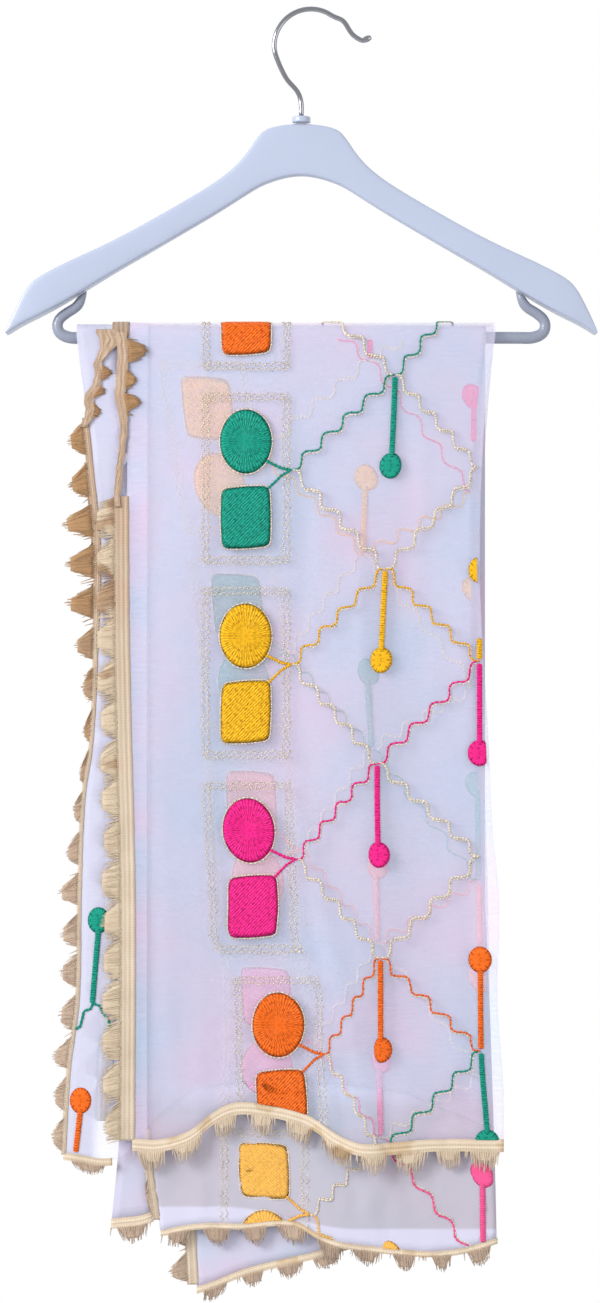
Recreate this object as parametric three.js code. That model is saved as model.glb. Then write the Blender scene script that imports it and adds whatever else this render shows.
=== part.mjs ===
// A laced dupatta folded lengthwise and hung over the trouser bar of a plastic coat hanger.
// Millimetres, +Z up, the front faces -Y. The origin is the inside of the hook's top, where
// the hanger bears on a rail. Every ply of cloth is one wall that follows the same drape.

import * as THREE from 'three';

// ---------------------------------------------------------------- driving sizes

const MID_X = -7;               // the hanger's middle plane stands left of the bearing point
const SEAM = 0.3;               // gap left between pieces that touch
const FULL_TURN = Math.PI * 2;
const QUARTER = Math.PI / 2;

const HOOK = {
  wireRadius: 2.1,
  loopRadius: 26.7,             // from the loop's centre to the middle of the wire
  arc: { from: 52, to: 200, step: 12.5 },
  sides: 8,
  steps: 44,                    // sections along the wire
  ballRadius: 2.9,
  pointsInBall: 3,              // points of the wire that the ball takes up
  // sections of the ball at the wire's end, as shares of its radius along and across the wire
  ball: [
    { along: -0.95, across: 0.45 },
    { along: -0.5, across: 0.8 },
    { along: 0.3, across: 0.98 },
    { along: 1.1, across: 0.8 },
  ],
  ballNeck: 1.6,                // where the ball has narrowed to the wire
  lip: [                        // from the ball to the arc
    { x: 41.5, z: -19.4 },
    { x: 36.6, z: -20.9 },
    { x: 29.6, z: -15.8 },
    { x: 23.4, z: -6.4 },
  ],
  neck: [                       // from the arc to the collar
    { x: -18.0, z: -48.4 },
    { x: -9.4, z: -58.6 },
    { x: MID_X, z: -66.5 },
    { x: MID_X, z: -76.0 },
  ],
};

const COLLAR = { radius: 7.0, top: -76.0, bottom: -81.1, bevel: 0.9, sides: 16 };

// one row for each station along an arm, out from the middle plane
const ARM = [
  { out: 0.0, top: -81.4, bottom: -119.2, depth: 11 },
  { out: 13.0, top: -82.3, bottom: -121.0, depth: 11 },
  { out: 25.3, top: -84.7, bottom: -125.3, depth: 11 },
  { out: 31.5, top: -90.0, bottom: -128.2, depth: 11 },
  { out: 38.4, top: -101.4, bottom: -132.5, depth: 11 },
  { out: 48.5, top: -113.7, bottom: -139.0, depth: 11.5 },
  { out: 65.2, top: -126.0, bottom: -149.5, depth: 12 },
  { out: 83.3, top: -136.8, bottom: -160.0, depth: 13 },
  { out: 110.8, top: -152.8, bottom: -175.9, depth: 15 },
  { out: 141.2, top: -169.4, bottom: -193.3, depth: 18 },
  { out: 172.3, top: -183.2, bottom: -212.9, depth: 21 },
  { out: 190.4, top: -193.0, bottom: -222.3, depth: 23 },
  { out: 199.1, top: -199.6, bottom: -226.4, depth: 23 },
  { out: 207.5, top: -216.4, bottom: -231.0, depth: 22 },
  { out: 215.0, top: -232.4, bottom: -236.2, depth: 19 },
];
const ARM_CORNER = { radius: 3.2, shareOfHeight: 0.385 };

const BAR = { radius: 4.7, z: -237.1, sides: 10 };
// the bracket that joins the bar to an arm, from the arm down, out from the middle plane
const BRACKET = [
  { out: 158.8, z: -207.6, radius: 4.0 },
  { out: 163.4, z: -214.6, radius: 4.0 },
  { out: 171.6, z: -219.8, radius: 4.1 },
  { out: 177.2, z: -225.4, radius: 4.3 },
  { out: 176.4, z: -233.2, radius: 4.6 },
  { out: 168.6, z: -237.1, radius: 4.7 },
  { out: 158.0, z: -237.1, radius: 4.7 },
];
const BRACKET_STEPS = 14;

const CLOTH = {
  thickness: 1.0,
  clearance: SEAM,
  spacingAtBar: 1.35,           // from the middle of one ply to the next
  spacingLow: 2.8,
  spreadOver: 150,              // length of the drop in which the plies spread
  backDrop: 572,                // from the bar's axis to the centre of the middle fold
  returnRise: 34,               // height of the leg that turns up inside the middle fold
};
// the plies, counted outward from the bar
const PLY = { farUnder: 0, farMiddle: 1, farTop: 2, nearUnder: 3, nearTop: 4 };

const ROWS = { front: 20, farFront: 15, over: 6, back: 8, farBack: 8, turn: 4 };
const OVER_STEP = Math.PI / ROWS.over;

// ---------------------------------------------------------------- outlines of the cloth
// down is below the bar's axis and x is from the hanger's middle plane

const NEAR_LEFT = [
  { down: 0, x: -126.2 },
  { down: 300, x: -126.0 },
  { down: 460, x: -124.6 },
  { down: 590, x: -124.8 },
];
const NEAR_RIGHT = [
  { down: 0, x: 140.5 },
  { down: 60, x: 133.0 },
  { down: 120, x: 129.6 },
  { down: 190, x: 129.4 },
  { down: 292, x: 135.2 },
  { down: 357, x: 138.1 },
  { down: 408, x: 142.8 },
  { down: 480, x: 141.7 },
  { down: 545, x: 146.0 },
  { down: 590, x: 146.0 },
];
const NEAR_HEM = [
  { x: -125.5, down: 581 },
  { x: -104, down: 582 },
  { x: -82, down: 576 },
  { x: -63, down: 562 },
  { x: -50, down: 556 },
  { x: -33, down: 556 },
  { x: 3, down: 564 },
  { x: 26, down: 578 },
  { x: 42, down: 584 },
  { x: 64, down: 584 },
  { x: 96, down: 582 },
  { x: 146, down: 582 },
];
const UNDER_LEFT = [
  { down: 0, x: -163 },
  { down: 42, x: -157.5 },
  { down: 97, x: -151.5 },
  { down: 155, x: -146.2 },
  { down: 220, x: -148 },
  { down: 292, x: -151.5 },
  { down: 335, x: -157.5 },
  { down: 400, x: -160.2 },
  { down: 480, x: -161.7 },
  { down: 530, x: -168 },
  { down: 595, x: -171.8 },
];
const UNDER_HEM = [
  { x: -172, down: 592 },
  { x: -130, down: 594 },
  { x: -108, down: 566 },
  { x: -74, down: 543 },
  { x: 60, down: 545 },
  { x: 120, down: 566 },
  { x: 146, down: 582 },
];
const FAR_TOP_LEFT = [
  { down: 0, x: -112 },
  { down: 560, x: -110.5 },
  { down: 600, x: -109 },
  { down: 652, x: -101.5 },
];
const FAR_RIGHT = [
  { down: 0, x: 134 },
  { down: 120, x: 124 },
  { down: 300, x: 128 },
  { down: 480, x: 136 },
  { down: 600, x: 140 },
  { down: 660, x: 141.5 },
];
const FAR_TOP_HEM = [
  { x: -102, down: 649 },
  { x: -74, down: 644 },
  { x: -44, down: 644 },
  { x: -6, down: 642 },
  { x: 20, down: 655 },
  { x: 56, down: 661 },
  { x: 94, down: 664 },
  { x: 120, down: 661 },
  { x: 142, down: 654 },
];
const FAR_MIDDLE_LEFT = [
  { down: 0, x: -122 },
  { down: 560, x: -131 },
  { down: 600, x: -133.5 },
  { down: 645, x: -138 },
];
const FAR_MIDDLE_HEM = [
  { x: -138, down: 641 },
  { x: -108, down: 636 },
  { x: -70, down: 612 },
  { x: 140, down: 610 },
];
const FAR_UNDER_LEFT = [
  { down: 0, x: -82 },
  { down: 620, x: -79 },
  { down: 650, x: -78 },
  { down: 692, x: -75.8 },
];
const FAR_UNDER_HEM = [
  { x: -76, down: 691 },
  { x: -64, down: 687 },
  { x: -38, down: 677 },
  { x: 8, down: 666 },
  { x: 60, down: 652 },
  { x: 140, down: 644 },
];
const BACK_RIGHT = [
  { down: 0, x: 140.5 },
  { down: 90, x: 134.0 },
  { down: 260, x: 132.5 },
  { down: 420, x: 137.0 },
  { down: 600, x: 139.0 },
];
const BACK_LEFT = {
  [PLY.nearTop]: [
    { down: 0, x: -126.2 },
    { down: 90, x: -116.0 },
    { down: 330, x: -109.0 },
    { down: 600, x: -112.0 },
  ],
  [PLY.nearUnder]: [
    { down: 0, x: -163 },
    { down: 90, x: -148 },
    { down: 330, x: -134 },
    { down: 600, x: -141 },
  ],
};

// ---------------------------------------------------------------- folds
// a soft ridge starts at x, leans as it runs down, and stands out by height

const FRONT_FOLDS = [
  { x: -86, lean: -0.05, width: 32, height: 3.4, from: 60, to: 640 },
  { x: -20, lean: 0.1, width: 30, height: -2.6, from: 120, to: 620 },
  { x: 34, lean: 0.03, width: 30, height: 3.6, from: 150, to: 700 },
  { x: 84, lean: -0.04, width: 30, height: -2.4, from: 80, to: 560 },
  { x: 122, lean: 0.03, width: 26, height: 2.8, from: 40, to: 700 },
  { x: -150, lean: -0.02, width: 26, height: 2.2, from: 200, to: 700 },
];
const BACK_FOLDS = [
  { x: -110, lean: 0.04, width: 30, height: 3.2, from: 60, to: 700 },
  { x: -48, lean: -0.06, width: 32, height: -2.6, from: 90, to: 700 },
  { x: 14, lean: 0.05, width: 30, height: 3.6, from: 50, to: 700 },
  { x: 66, lean: 0.02, width: 28, height: -2.2, from: 150, to: 700 },
  { x: 112, lean: -0.03, width: 26, height: 3.0, from: 40, to: 700 },
];
const FOLD_ENDS = { begin: 130, end: 90 };  // lengths in which a fold rises and dies away
// creases of the top near ply alone, which only stand outward
const NEAR_CREASES = [
  { x: -26, lean: 0.2, width: 15, height: 4.2, from: 250, to: 700 },
  { x: -96, lean: 0.06, width: 16, height: 2.2, from: 380, to: 700 },
  { x: 58, lean: -0.05, width: 17, height: 2.4, from: 300, to: 700 },
  { x: 104, lean: 0.05, width: 16, height: 2.0, from: 90, to: 420 },
];
const CREASED_SHARE = 0.8;      // share of the near ply's width past which those creases fade

// ---------------------------------------------------------------- lace trim
// tape is the woven band, reach is how far the tufts stand past it

const LACE_THICKNESS = 1.0;
const TUFT = {
  margin: 1.5,                  // bare tape at both sides of a tuft
  between: 1.1,                 // from one lock to the next
  tipShare: 0.3,                // a lock's width at its tip, as a share of its root
  loneTipShare: 0.2,            // the same where a tuft is one lock
  tipThickness: 0.8,
  converge: 0.42,               // how far the tips lean toward the tuft's middle
  taper: 0.75,                  // how much shorter the outer locks are
  unevenLength: 0.1,
  unevenTip: 1.4,
  seedOfLock: 3.7,
  seedOfPly: 17,
  sideDrop: 3.0,                // how far the tufts of an upright edge hang down
};
const LACE = {
  edge: { tape: 10.9, reach: 11.4 },
  turned: { tape: 6.5, reach: 8 },
  farEdge: { tape: 4.6, reach: 2.6 },
  farUnderEdge: { tape: 7, reach: 13 },
};
// hem trims, with their tufts, the columns of cloth below which a tuft hangs, and its locks
const HEM_LACE = {
  near: { tape: 7.6, reach: 15, tufts: 10, columnsPerTuft: 2, locks: 4 },
  under: { tape: 4, reach: 8, tufts: 1, columnsPerTuft: 1, locks: 3 },
  farTop: { tape: 3, reach: 12, tufts: 9, columnsPerTuft: 1, locks: 3 },
  farMiddle: { tape: 6, reach: 12, tufts: 1, columnsPerTuft: 1, locks: 3 },
  farUnder: { tape: 4, reach: 10, tufts: 5, columnsPerTuft: 1, locks: 3 },
};
// the rows of cloth at which the tufts of the two front edges begin
const FIRST_TUFTED_ROW = { near: 4, under: 2 };
// the other upright trims, by how far down their tufts run
const TUFTED = {
  turned: { from: 3, to: 108, count: 4 },
  nearBack: { from: 0, to: CLOTH.backDrop, count: 20 },
  underBack: { from: 90, to: CLOTH.backDrop, count: 17 },
  farEdge: { from: 556, to: 640, count: 3 },
  farUnderEdge: { from: 636, to: 688, count: 2 },
};
// the trim beside the folded ply's edge is partly turned behind it
const UNDER_EDGE_LACE = [
  { down: 40, tape: 4, reach: 6 },
  { down: 101, tape: 5, reach: 15 },
  { down: 147, tape: 6, reach: 20 },
  { down: 191, tape: 6, reach: 17 },
  { down: 220, tape: 5, reach: 13 },
  { down: 263, tape: 4, reach: 5 },
  { down: 328, tape: 3, reach: 4 },
  { down: 361, tape: 4, reach: 6 },
  { down: 400, tape: 6, reach: 10 },
  { down: 451, tape: 6, reach: 10.5 },
  { down: 564, tape: 4, reach: 7.5 },
  { down: 600, tape: 4, reach: 7 },
];
const TURNED_INSET = 5;         // from the cloth's edge out to where the turned trim begins

// ---------------------------------------------------------------- small helpers

const lerp = (a, b, share) => a + (b - a) * share;
const ramp = (value) => {
  const share = THREE.MathUtils.clamp(value, 0, 1);
  return share * share * (3 - 2 * share);
};
const radians = (degrees) => THREE.MathUtils.degToRad(degrees);

// reads a column of a table at a place between its rows, along a smooth curve
function readTable(table, key, column, at) {
  const last = table.length - 1;
  if (at <= table[0][key]) return table[0][column];
  if (at >= table[last][key]) return table[last][column];
  const i = table.findIndex((row) => row[key] > at) - 1;
  const slope = (k) => {
    const before = table[Math.max(k - 1, 0)];
    const after = table[Math.min(k + 1, last)];
    return (after[column] - before[column]) / (after[key] - before[key]);
  };
  const span = table[i + 1][key] - table[i][key];
  const t = (at - table[i][key]) / span;
  const start = table[i][column];
  const rise = table[i + 1][column] - start;
  const bend = slope(i) * span - rise;
  const bendEnd = rise - slope(i + 1) * span;
  return start + rise * t + t * (1 - t) * ((1 - t) * bend + t * bendEnd);
}

// a repeatable number from -1 to 1 that keeps the tufts uneven
const uneven = (seed) => {
  const wave = Math.sin(seed * 12.9898 + 4.1) * 43758.5453;
  return (wave - Math.floor(wave)) * 2 - 1;
};

// a closed body from points and quads, with its faces pointing out
function closedBody(points, quads) {
  const index = quads.flatMap(([a, b, c, d]) => [a, b, c, a, c, d]);
  let volume = 0;
  for (let i = 0; i < index.length; i += 3) {
    const [a, b, c] = [points[index[i]], points[index[i + 1]], points[index[i + 2]]];
    volume += a.dot(new THREE.Vector3().crossVectors(b, c));
  }
  if (volume < 0) index.reverse();
  const geometry = new THREE.BufferGeometry().setFromPoints(points);
  geometry.setIndex(index);
  geometry.computeVertexNormals();
  return geometry;
}

// joins rings with the same even number of points, and closes both ends with a strip
function loft(rings) {
  const count = rings[0].length;
  const quads = [];
  for (let r = 0; r + 1 < rings.length; r += 1) {
    for (let i = 0; i < count; i += 1) {
      const next = (i + 1) % count;
      quads.push([r * count + i, r * count + next, (r + 1) * count + next, (r + 1) * count + i]);
    }
  }
  const endStrip = (first, flip) => {
    for (let i = 0; i + 1 < count / 2; i += 1) {
      const quad = [first + i, first + count - 1 - i, first + count - 2 - i, first + i + 1];
      quads.push(flip ? quad.reverse() : quad);
    }
  };
  endStrip(0, false);
  endStrip((rings.length - 1) * count, true);
  return closedBody(rings.flat(), quads);
}

// a round section carried along points that lie in a plane of constant y
function sweep(middles, sides) {
  return loft(middles.map((middle, i) => {
    const before = middles[Math.max(i - 1, 0)];
    const after = middles[Math.min(i + 1, middles.length - 1)];
    const along = new THREE.Vector2(after.x - before.x, after.z - before.z).normalize();
    return Array.from({ length: sides }, (_, k) => {
      const angle = ((k + 0.5) / sides) * FULL_TURN;
      const across = Math.cos(angle) * middle.radius;
      return new THREE.Vector3(
        middle.x - along.y * across,
        Math.sin(angle) * middle.radius,
        middle.z + along.x * across,
      );
    });
  }));
}

// rows with x, z and radius spread evenly along a smooth curve through the given rows
function smoothRoute(rows, steps) {
  const curve = new THREE.CatmullRomCurve3(
    rows.map((row) => new THREE.Vector3(row.x, row.radius, row.z)), false, 'centripetal');
  return curve.getSpacedPoints(steps).map((p) => ({ x: p.x, z: p.z, radius: p.y }));
}

// ---------------------------------------------------------------- hanger

function hookGeometry() {
  const { wireRadius, loopRadius, ballRadius, arc, lip, neck, sides } = HOOK;
  const centreZ = wireRadius - loopRadius;
  const loop = [];
  for (let angle = arc.from; angle <= arc.to; angle += arc.step) {
    loop.push({
      x: loopRadius * Math.cos(radians(angle)),
      z: centreZ + loopRadius * Math.sin(radians(angle)),
    });
  }
  const wire = [...lip, ...loop, ...neck].map((p) => ({ ...p, radius: wireRadius }));
  const route = smoothRoute(wire, HOOK.steps);
  const [tip, second] = route;
  const ahead = new THREE.Vector2(tip.x - second.x, tip.z - second.z).normalize();
  const onTip = (along, radius) => ({
    x: tip.x - ahead.x * ballRadius * along,
    z: tip.z - ahead.y * ballRadius * along,
    radius,
  });
  const ball = HOOK.ball.map(({ along, across }) => onTip(along, ballRadius * across));
  return sweep(
    [...ball, onTip(HOOK.ballNeck, wireRadius), ...route.slice(HOOK.pointsInBall)], sides);
}

function collarGeometry() {
  const { radius, top, bottom, bevel } = COLLAR;
  const rim = [
    new THREE.Vector2(0, bottom + SEAM),
    new THREE.Vector2(radius, bottom + SEAM),
    new THREE.Vector2(radius, top - bevel),
    new THREE.Vector2(radius - bevel, top - SEAM),
    new THREE.Vector2(0, top - SEAM),
  ];
  return new THREE.LatheGeometry(rim, COLLAR.sides).rotateX(QUARTER).translate(MID_X, 0, 0);
}

// twelve points round an upright section with rounded corners
function armRing(x, row) {
  const halfDepth = row.depth / 2;
  const corner = Math.min(ARM_CORNER.radius, (row.top - row.bottom) * ARM_CORNER.shareOfHeight);
  const corners = [
    { y: -halfDepth + corner, z: row.bottom + corner, start: 180 },
    { y: halfDepth - corner, z: row.bottom + corner, start: 270 },
    { y: halfDepth - corner, z: row.top - corner, start: 0 },
    { y: -halfDepth + corner, z: row.top - corner, start: 90 },
  ];
  return corners.flatMap(({ y, z, start }) => [0, 45, 90].map((turn) => {
    const angle = radians(start + turn);
    return new THREE.Vector3(x, y + corner * Math.cos(angle), z + corner * Math.sin(angle));
  }));
}

function bodyGeometry() {
  const left = ARM.slice(1).reverse().map((row) => armRing(MID_X - row.out, row));
  const right = ARM.map((row) => armRing(MID_X + row.out, row));
  return loft([...left, ...right]);
}

// the underside of the arm is straight between the rows of its table
function armUnderside(out) {
  const i = ARM.findIndex((row) => row.out > out) - 1;
  const share = (out - ARM[i].out) / (ARM[i + 1].out - ARM[i].out);
  return lerp(ARM[i].bottom, ARM[i + 1].bottom, share);
}

function barGeometry() {
  const half = smoothRoute(BRACKET.map(({ out, z, radius }) => ({ x: out, z, radius })), BRACKET_STEPS);
  const place = (side) => half.map((p) => ({ ...p, x: MID_X + side * p.x }));
  const geometry = sweep([...place(-1), ...place(1).reverse()], BAR.sides);
  // both ends are trimmed to the slope of the arm above them
  const position = geometry.getAttribute('position');
  const seat = (i) => {
    const out = Math.abs(position.getX(i) - MID_X);
    position.setZ(i, armUnderside(out) - SEAM);
  };
  for (let i = 0; i < BAR.sides; i += 1) {
    seat(i);
    seat(position.count - 1 - i);
  }
  return geometry;
}

// ---------------------------------------------------------------- drape

// how far a table of folds pushes the cloth outward at a place
function relief(folds, x, down) {
  return folds.reduce((sum, fold) => {
    const middle = fold.x + fold.lean * (down - fold.from);
    const across = (x - middle) / fold.width;
    const begin = ramp((down - fold.from) / FOLD_ENDS.begin);
    const end = ramp((fold.to - down) / FOLD_ENDS.end);
    return sum + fold.height * begin * end * Math.exp(-across * across / 2);
  }, 0);
}

// distance from the bar's surface to the middle of a ply
function plyDepth(ply, down, x = null) {
  const { clearance, thickness, spacingAtBar, spacingLow, spreadOver } = CLOTH;
  const spacing = lerp(spacingAtBar, spacingLow, ramp(down / spreadOver));
  const own = ply === PLY.nearTop && x !== null ? Math.max(relief(NEAR_CREASES, x, down), 0) : 0;
  return clearance + thickness / 2 + ply * spacing + own;
}

// a spot says where on the drape a point lies: the front or back drop at a distance down,
// over the bar at an angle, round the middle fold at an angle, or on the leg inside it
function place(spot, x, depth) {
  const out = BAR.radius + depth;
  const { part, angle = 0, down = 0 } = spot;
  if (part === 'front') {
    const y = -(out + relief(FRONT_FOLDS, x, down));
    return new THREE.Vector3(MID_X + x, y, BAR.z - down);
  }
  if (part === 'over') {
    return new THREE.Vector3(MID_X + x, out * Math.sin(angle), BAR.z + out * Math.cos(angle));
  }
  const shift = relief(BACK_FOLDS, x, down);
  if (part === 'back') return new THREE.Vector3(MID_X + x, out + shift, BAR.z - down);
  const centre = BAR.radius + plyDepth(PLY.farTop, down);
  const radius = out - centre;
  return new THREE.Vector3(
    MID_X + x,
    centre + shift + radius * Math.cos(angle),
    BAR.z - down - radius * Math.sin(angle),
  );
}

// the spots of one column of cloth, from the front hem to the end at the back
function frontSpots(hemDown, rows) {
  return Array.from({ length: rows }, (_, i) => ({ part: 'front', down: hemDown * (1 - i / rows) }));
}

function overSpots() {
  return Array.from({ length: ROWS.over + 1 }, (_, i) => (
    { part: 'over', angle: -QUARTER + i * OVER_STEP }));
}

function backSpots(drop, rows) {
  return Array.from({ length: rows }, (_, i) => ({ part: 'back', down: (drop * (i + 1)) / rows }));
}

function foldSpots() {
  const { backDrop, returnRise } = CLOTH;
  const turn = Array.from({ length: ROWS.turn }, (_, i) => (
    { part: 'fold', down: backDrop, angle: (Math.PI * (i + 1)) / ROWS.turn }));
  return [...turn, { part: 'return', down: backDrop - returnRise, angle: Math.PI }];
}

// rows of a wall become rings: its outer points there, and its inner points back
function wall(columns) {
  const half = CLOTH.thickness / 2;
  return loft(columns[0].map((_, row) => {
    const side = (sign) => columns.map((column) => {
      const { spot, x, depth, nx, nd } = column[row];
      return place(spot, x + sign * half * nx, depth + sign * half * nd);
    });
    return [...side(1), ...side(-1).reverse()];
  }));
}

// ---------------------------------------------------------------- near end: two plies and their fold

const NEAR_COLUMNS = 20;
const UNDER_COLUMNS = 9;
const FOLD_COLUMNS = [60, 0, -60];

const edgeX = (spot, front, back) => (
  readTable(spot.part === 'front' ? front : back, 'down', 'x', spot.down ?? 0));

function nearColumn(hemDown, put) {
  const spots = [
    ...frontSpots(hemDown, ROWS.front), ...overSpots(),
    ...backSpots(CLOTH.backDrop, ROWS.back), ...foldSpots()];
  return spots.map((spot) => {
    const down = spot.down ?? 0;
    const right = edgeX(spot, NEAR_RIGHT, BACK_RIGHT);
    const under = plyDepth(PLY.nearUnder, down);
    const foldRadius = (plyDepth(PLY.nearTop, down) - under) / 2;
    return { spot, ...put(spot, right - foldRadius, foldRadius, down) };
  });
}

function nearClothGeometry() {
  const hemRight = NEAR_HEM[NEAR_HEM.length - 1];
  const hemLeft = NEAR_HEM[0];
  const columns = [];
  for (let i = 0; i <= NEAR_COLUMNS; i += 1) {
    const share = i / NEAR_COLUMNS;
    const hemDown = nearHemAt(lerp(hemLeft.x, hemRight.x, share));
    columns.push(nearColumn(hemDown, (spot, right, foldRadius, down) => {
      const x = lerp(edgeX(spot, NEAR_LEFT, BACK_LEFT[PLY.nearTop]), right, share);
      const crease = spot.part === 'front' ? x : null;
      const fade = 1 - ramp((share - CREASED_SHARE) / (1 - CREASED_SHARE));
      const depth = lerp(plyDepth(PLY.nearTop, down), plyDepth(PLY.nearTop, down, crease), fade);
      return { x, depth, nx: 0, nd: 1 };
    }));
  }
  FOLD_COLUMNS.forEach((degrees) => {
    const turn = radians(degrees);
    columns.push(nearColumn(hemRight.down, (spot, right, foldRadius, down) => ({
      x: right + foldRadius * Math.cos(turn),
      depth: plyDepth(PLY.nearUnder, down) + foldRadius * (1 + Math.sin(turn)),
      nx: Math.cos(turn),
      nd: Math.sin(turn),
    })));
  });
  const underLeft = UNDER_HEM[0];
  for (let i = UNDER_COLUMNS; i >= 0; i -= 1) {
    const share = i / UNDER_COLUMNS;
    const hemDown = readTable(UNDER_HEM, 'x', 'down', lerp(underLeft.x, hemRight.x, share));
    columns.push(nearColumn(hemDown, (spot, right, foldRadius, down) => ({
      x: lerp(edgeX(spot, UNDER_LEFT, BACK_LEFT[PLY.nearUnder]), right, share),
      depth: plyDepth(PLY.nearUnder, down),
      nx: 0,
      nd: -1,
    })));
  }
  return wall(columns);
}

// ---------------------------------------------------------------- far end: three single plies

// two of them meet the legs that turn up inside the middle fold
const FAR_DROP = CLOTH.backDrop - CLOTH.returnRise - SEAM;
const FAR_END = {
  farTop: { left: FAR_TOP_LEFT, hem: FAR_TOP_HEM, columns: 9, drop: CLOTH.backDrop },
  farMiddle: { left: FAR_MIDDLE_LEFT, hem: FAR_MIDDLE_HEM, columns: 9, drop: FAR_DROP },
  farUnder: { left: FAR_UNDER_LEFT, hem: FAR_UNDER_HEM, columns: 8, drop: FAR_DROP },
};

// a hem is straight between the columns of its cloth
function hemLine(left, right, table, columns) {
  const line = Array.from({ length: columns + 1 }, (_, i) => {
    const x = lerp(left, right, i / columns);
    return { x, down: readTable(table, 'x', 'down', x) };
  });
  return (x) => {
    const column = THREE.MathUtils.clamp((x - left) / (right - left), 0, 1) * columns;
    const i = Math.min(Math.floor(column), columns - 1);
    return lerp(line[i].down, line[i + 1].down, column - i);
  };
}

const nearHemAt = hemLine(NEAR_HEM[0].x, NEAR_HEM[NEAR_HEM.length - 1].x, NEAR_HEM, NEAR_COLUMNS);
const underHemAt = hemLine(UNDER_HEM[0].x, UNDER_HEM[UNDER_HEM.length - 1].x, UNDER_HEM, UNDER_COLUMNS);
const farHemAt = Object.fromEntries(Object.entries(FAR_END).map(([name, sheet]) => {
  const [first, last] = [sheet.hem[0], sheet.hem[sheet.hem.length - 1]];
  return [name, hemLine(first.x, last.x, sheet.hem, sheet.columns)];
}));

function farClothGeometry(name) {
  const { left, hem, columns, drop } = FAR_END[name];
  const ply = PLY[name];
  const [first, last] = [hem[0].x, hem[hem.length - 1].x];
  return wall(Array.from({ length: columns + 1 }, (_, i) => {
    const share = i / columns;
    const hemDown = farHemAt[name](lerp(first, last, share));
    const spots = [
      ...frontSpots(hemDown, ROWS.farFront), ...overSpots(), ...backSpots(drop, ROWS.farBack)];
    return spots.map((spot) => {
      const down = spot.part === 'front' ? spot.down : 0;
      const right = readTable(FAR_RIGHT, 'down', 'x', down);
      const x = lerp(readTable(left, 'down', 'x', down), right, share);
      return { spot, x, depth: plyDepth(ply, spot.down ?? 0), nx: 0, nd: 1 };
    });
  }));
}

// ---------------------------------------------------------------- lace

// One trim is a woven tape with tufts. edge(t) gives the cloth's edge, size(t) the tape and
// reach there, teeth the spans of the tufts, and out the direction away from the cloth.
function laceGeometry({ edge, out, size, teeth, locks, ply, part = 'front', lift = 0, sag = 0, plain = [] }) {
  const half = LACE_THICKNESS / 2;
  const points = [];
  const quads = [];
  const add = (t, off, thick, shift = 0, spotPart = null) => {
    const at = edge(t);
    const x = at.x + out.x * off;
    const down = (at.down ?? 0) + out.down * off + shift;
    const spot = spotPart ?? at.spot ?? { part, down };
    const crease = spot.part === 'front' ? x : null;
    const depth = plyDepth(ply, spot.part === 'over' ? 0 : spot.down, crease) + lift + thick;
    points.push(place(spot, x, depth));
    return points.length - 1;
  };

  const stations = plain.map((t) => ({ t, lock: null }));
  teeth.forEach(({ from, to }, tooth) => {
    const width = (to - from - 2 * TUFT.margin - (locks - 1) * TUFT.between) / locks;
    stations.push({ t: from, lock: null });
    for (let k = 0; k < locks; k += 1) {
      const start = from + TUFT.margin + k * (width + TUFT.between);
      stations.push({ t: start, lock: { tooth, k, from, to, start, end: start + width } });
      stations.push({ t: start + width, lock: null });
    }
    const next = teeth[tooth + 1];
    if (!next || next.from > to) stations.push({ t: to, lock: null });
  });

  const corners = stations.map(({ t }) => {
    const { tape } = size(t);
    return [add(t, SEAM, -half), add(t, SEAM, half), add(t, SEAM + tape, half), add(t, SEAM + tape, -half)];
  });
  quads.push(corners[0]);
  for (let i = 0; i + 1 < corners.length; i += 1) {
    const [a, b] = [corners[i], corners[i + 1]];
    [0, 1, 3].forEach((k) => quads.push([a[k], b[k], b[(k + 1) % 4], a[(k + 1) % 4]]));
    const { lock } = stations[i];
    if (!lock) {
      quads.push([a[2], b[2], b[3], a[3]]);
      continue;
    }
    const seed = lock.from + lock.k * TUFT.seedOfLock + ply * TUFT.seedOfPly;
    const middle = (lock.from + lock.to) / 2;
    const own = (lock.start + lock.end) / 2;
    const aside = (own - middle) / (lock.to - lock.from);
    const { tape, reach } = size(own);
    const length = reach * (1 - TUFT.taper * Math.abs(aside)) * (1 + TUFT.unevenLength * uneven(seed));
    const lean = locks > 1 ? TUFT.converge : 0;
    const tipMiddle = lerp(own, middle, lean) + TUFT.unevenTip * uneven(seed + 1);
    const tipShare = locks > 1 ? TUFT.tipShare : TUFT.loneTipShare;
    const [low, high] = [-1, 1].map((side) => tipMiddle + (side * tipShare * (lock.end - lock.start)) / 2);
    const off = SEAM + tape + length;
    const thick = half * TUFT.tipThickness;
    const tip = [
      add(low, off, thick, sag), add(high, off, thick, sag),
      add(high, off, -thick, sag), add(low, off, -thick, sag)];
    const root = [a[2], b[2], b[3], a[3]];
    for (let k = 0; k < 4; k += 1) {
      quads.push([root[k], root[(k + 1) % 4], tip[(k + 1) % 4], tip[k]]);
    }
    quads.push(tip);
  }
  quads.push([...corners[corners.length - 1]].reverse());
  return closedBody(points, quads);
}

// spans of equal length, one for each tuft
const spans = ({ from, to, count }) => Array.from({ length: count }, (_, i) => (
  { from: lerp(from, to, i / count), to: lerp(from, to, (i + 1) / count) }));

// a cloth's side edge is straight between its rows
function sideEdge(table, drop, rows) {
  const rowAt = (row) => (drop * row) / rows;
  return (down) => {
    const low = Math.min(Math.floor(down / rowAt(1)), rows - 1);
    const [a, b] = [low, low + 1].map((k) => readTable(table, 'down', 'x', rowAt(k)));
    return { x: lerp(a, b, down / rowAt(1) - low), down };
  };
}

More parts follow.
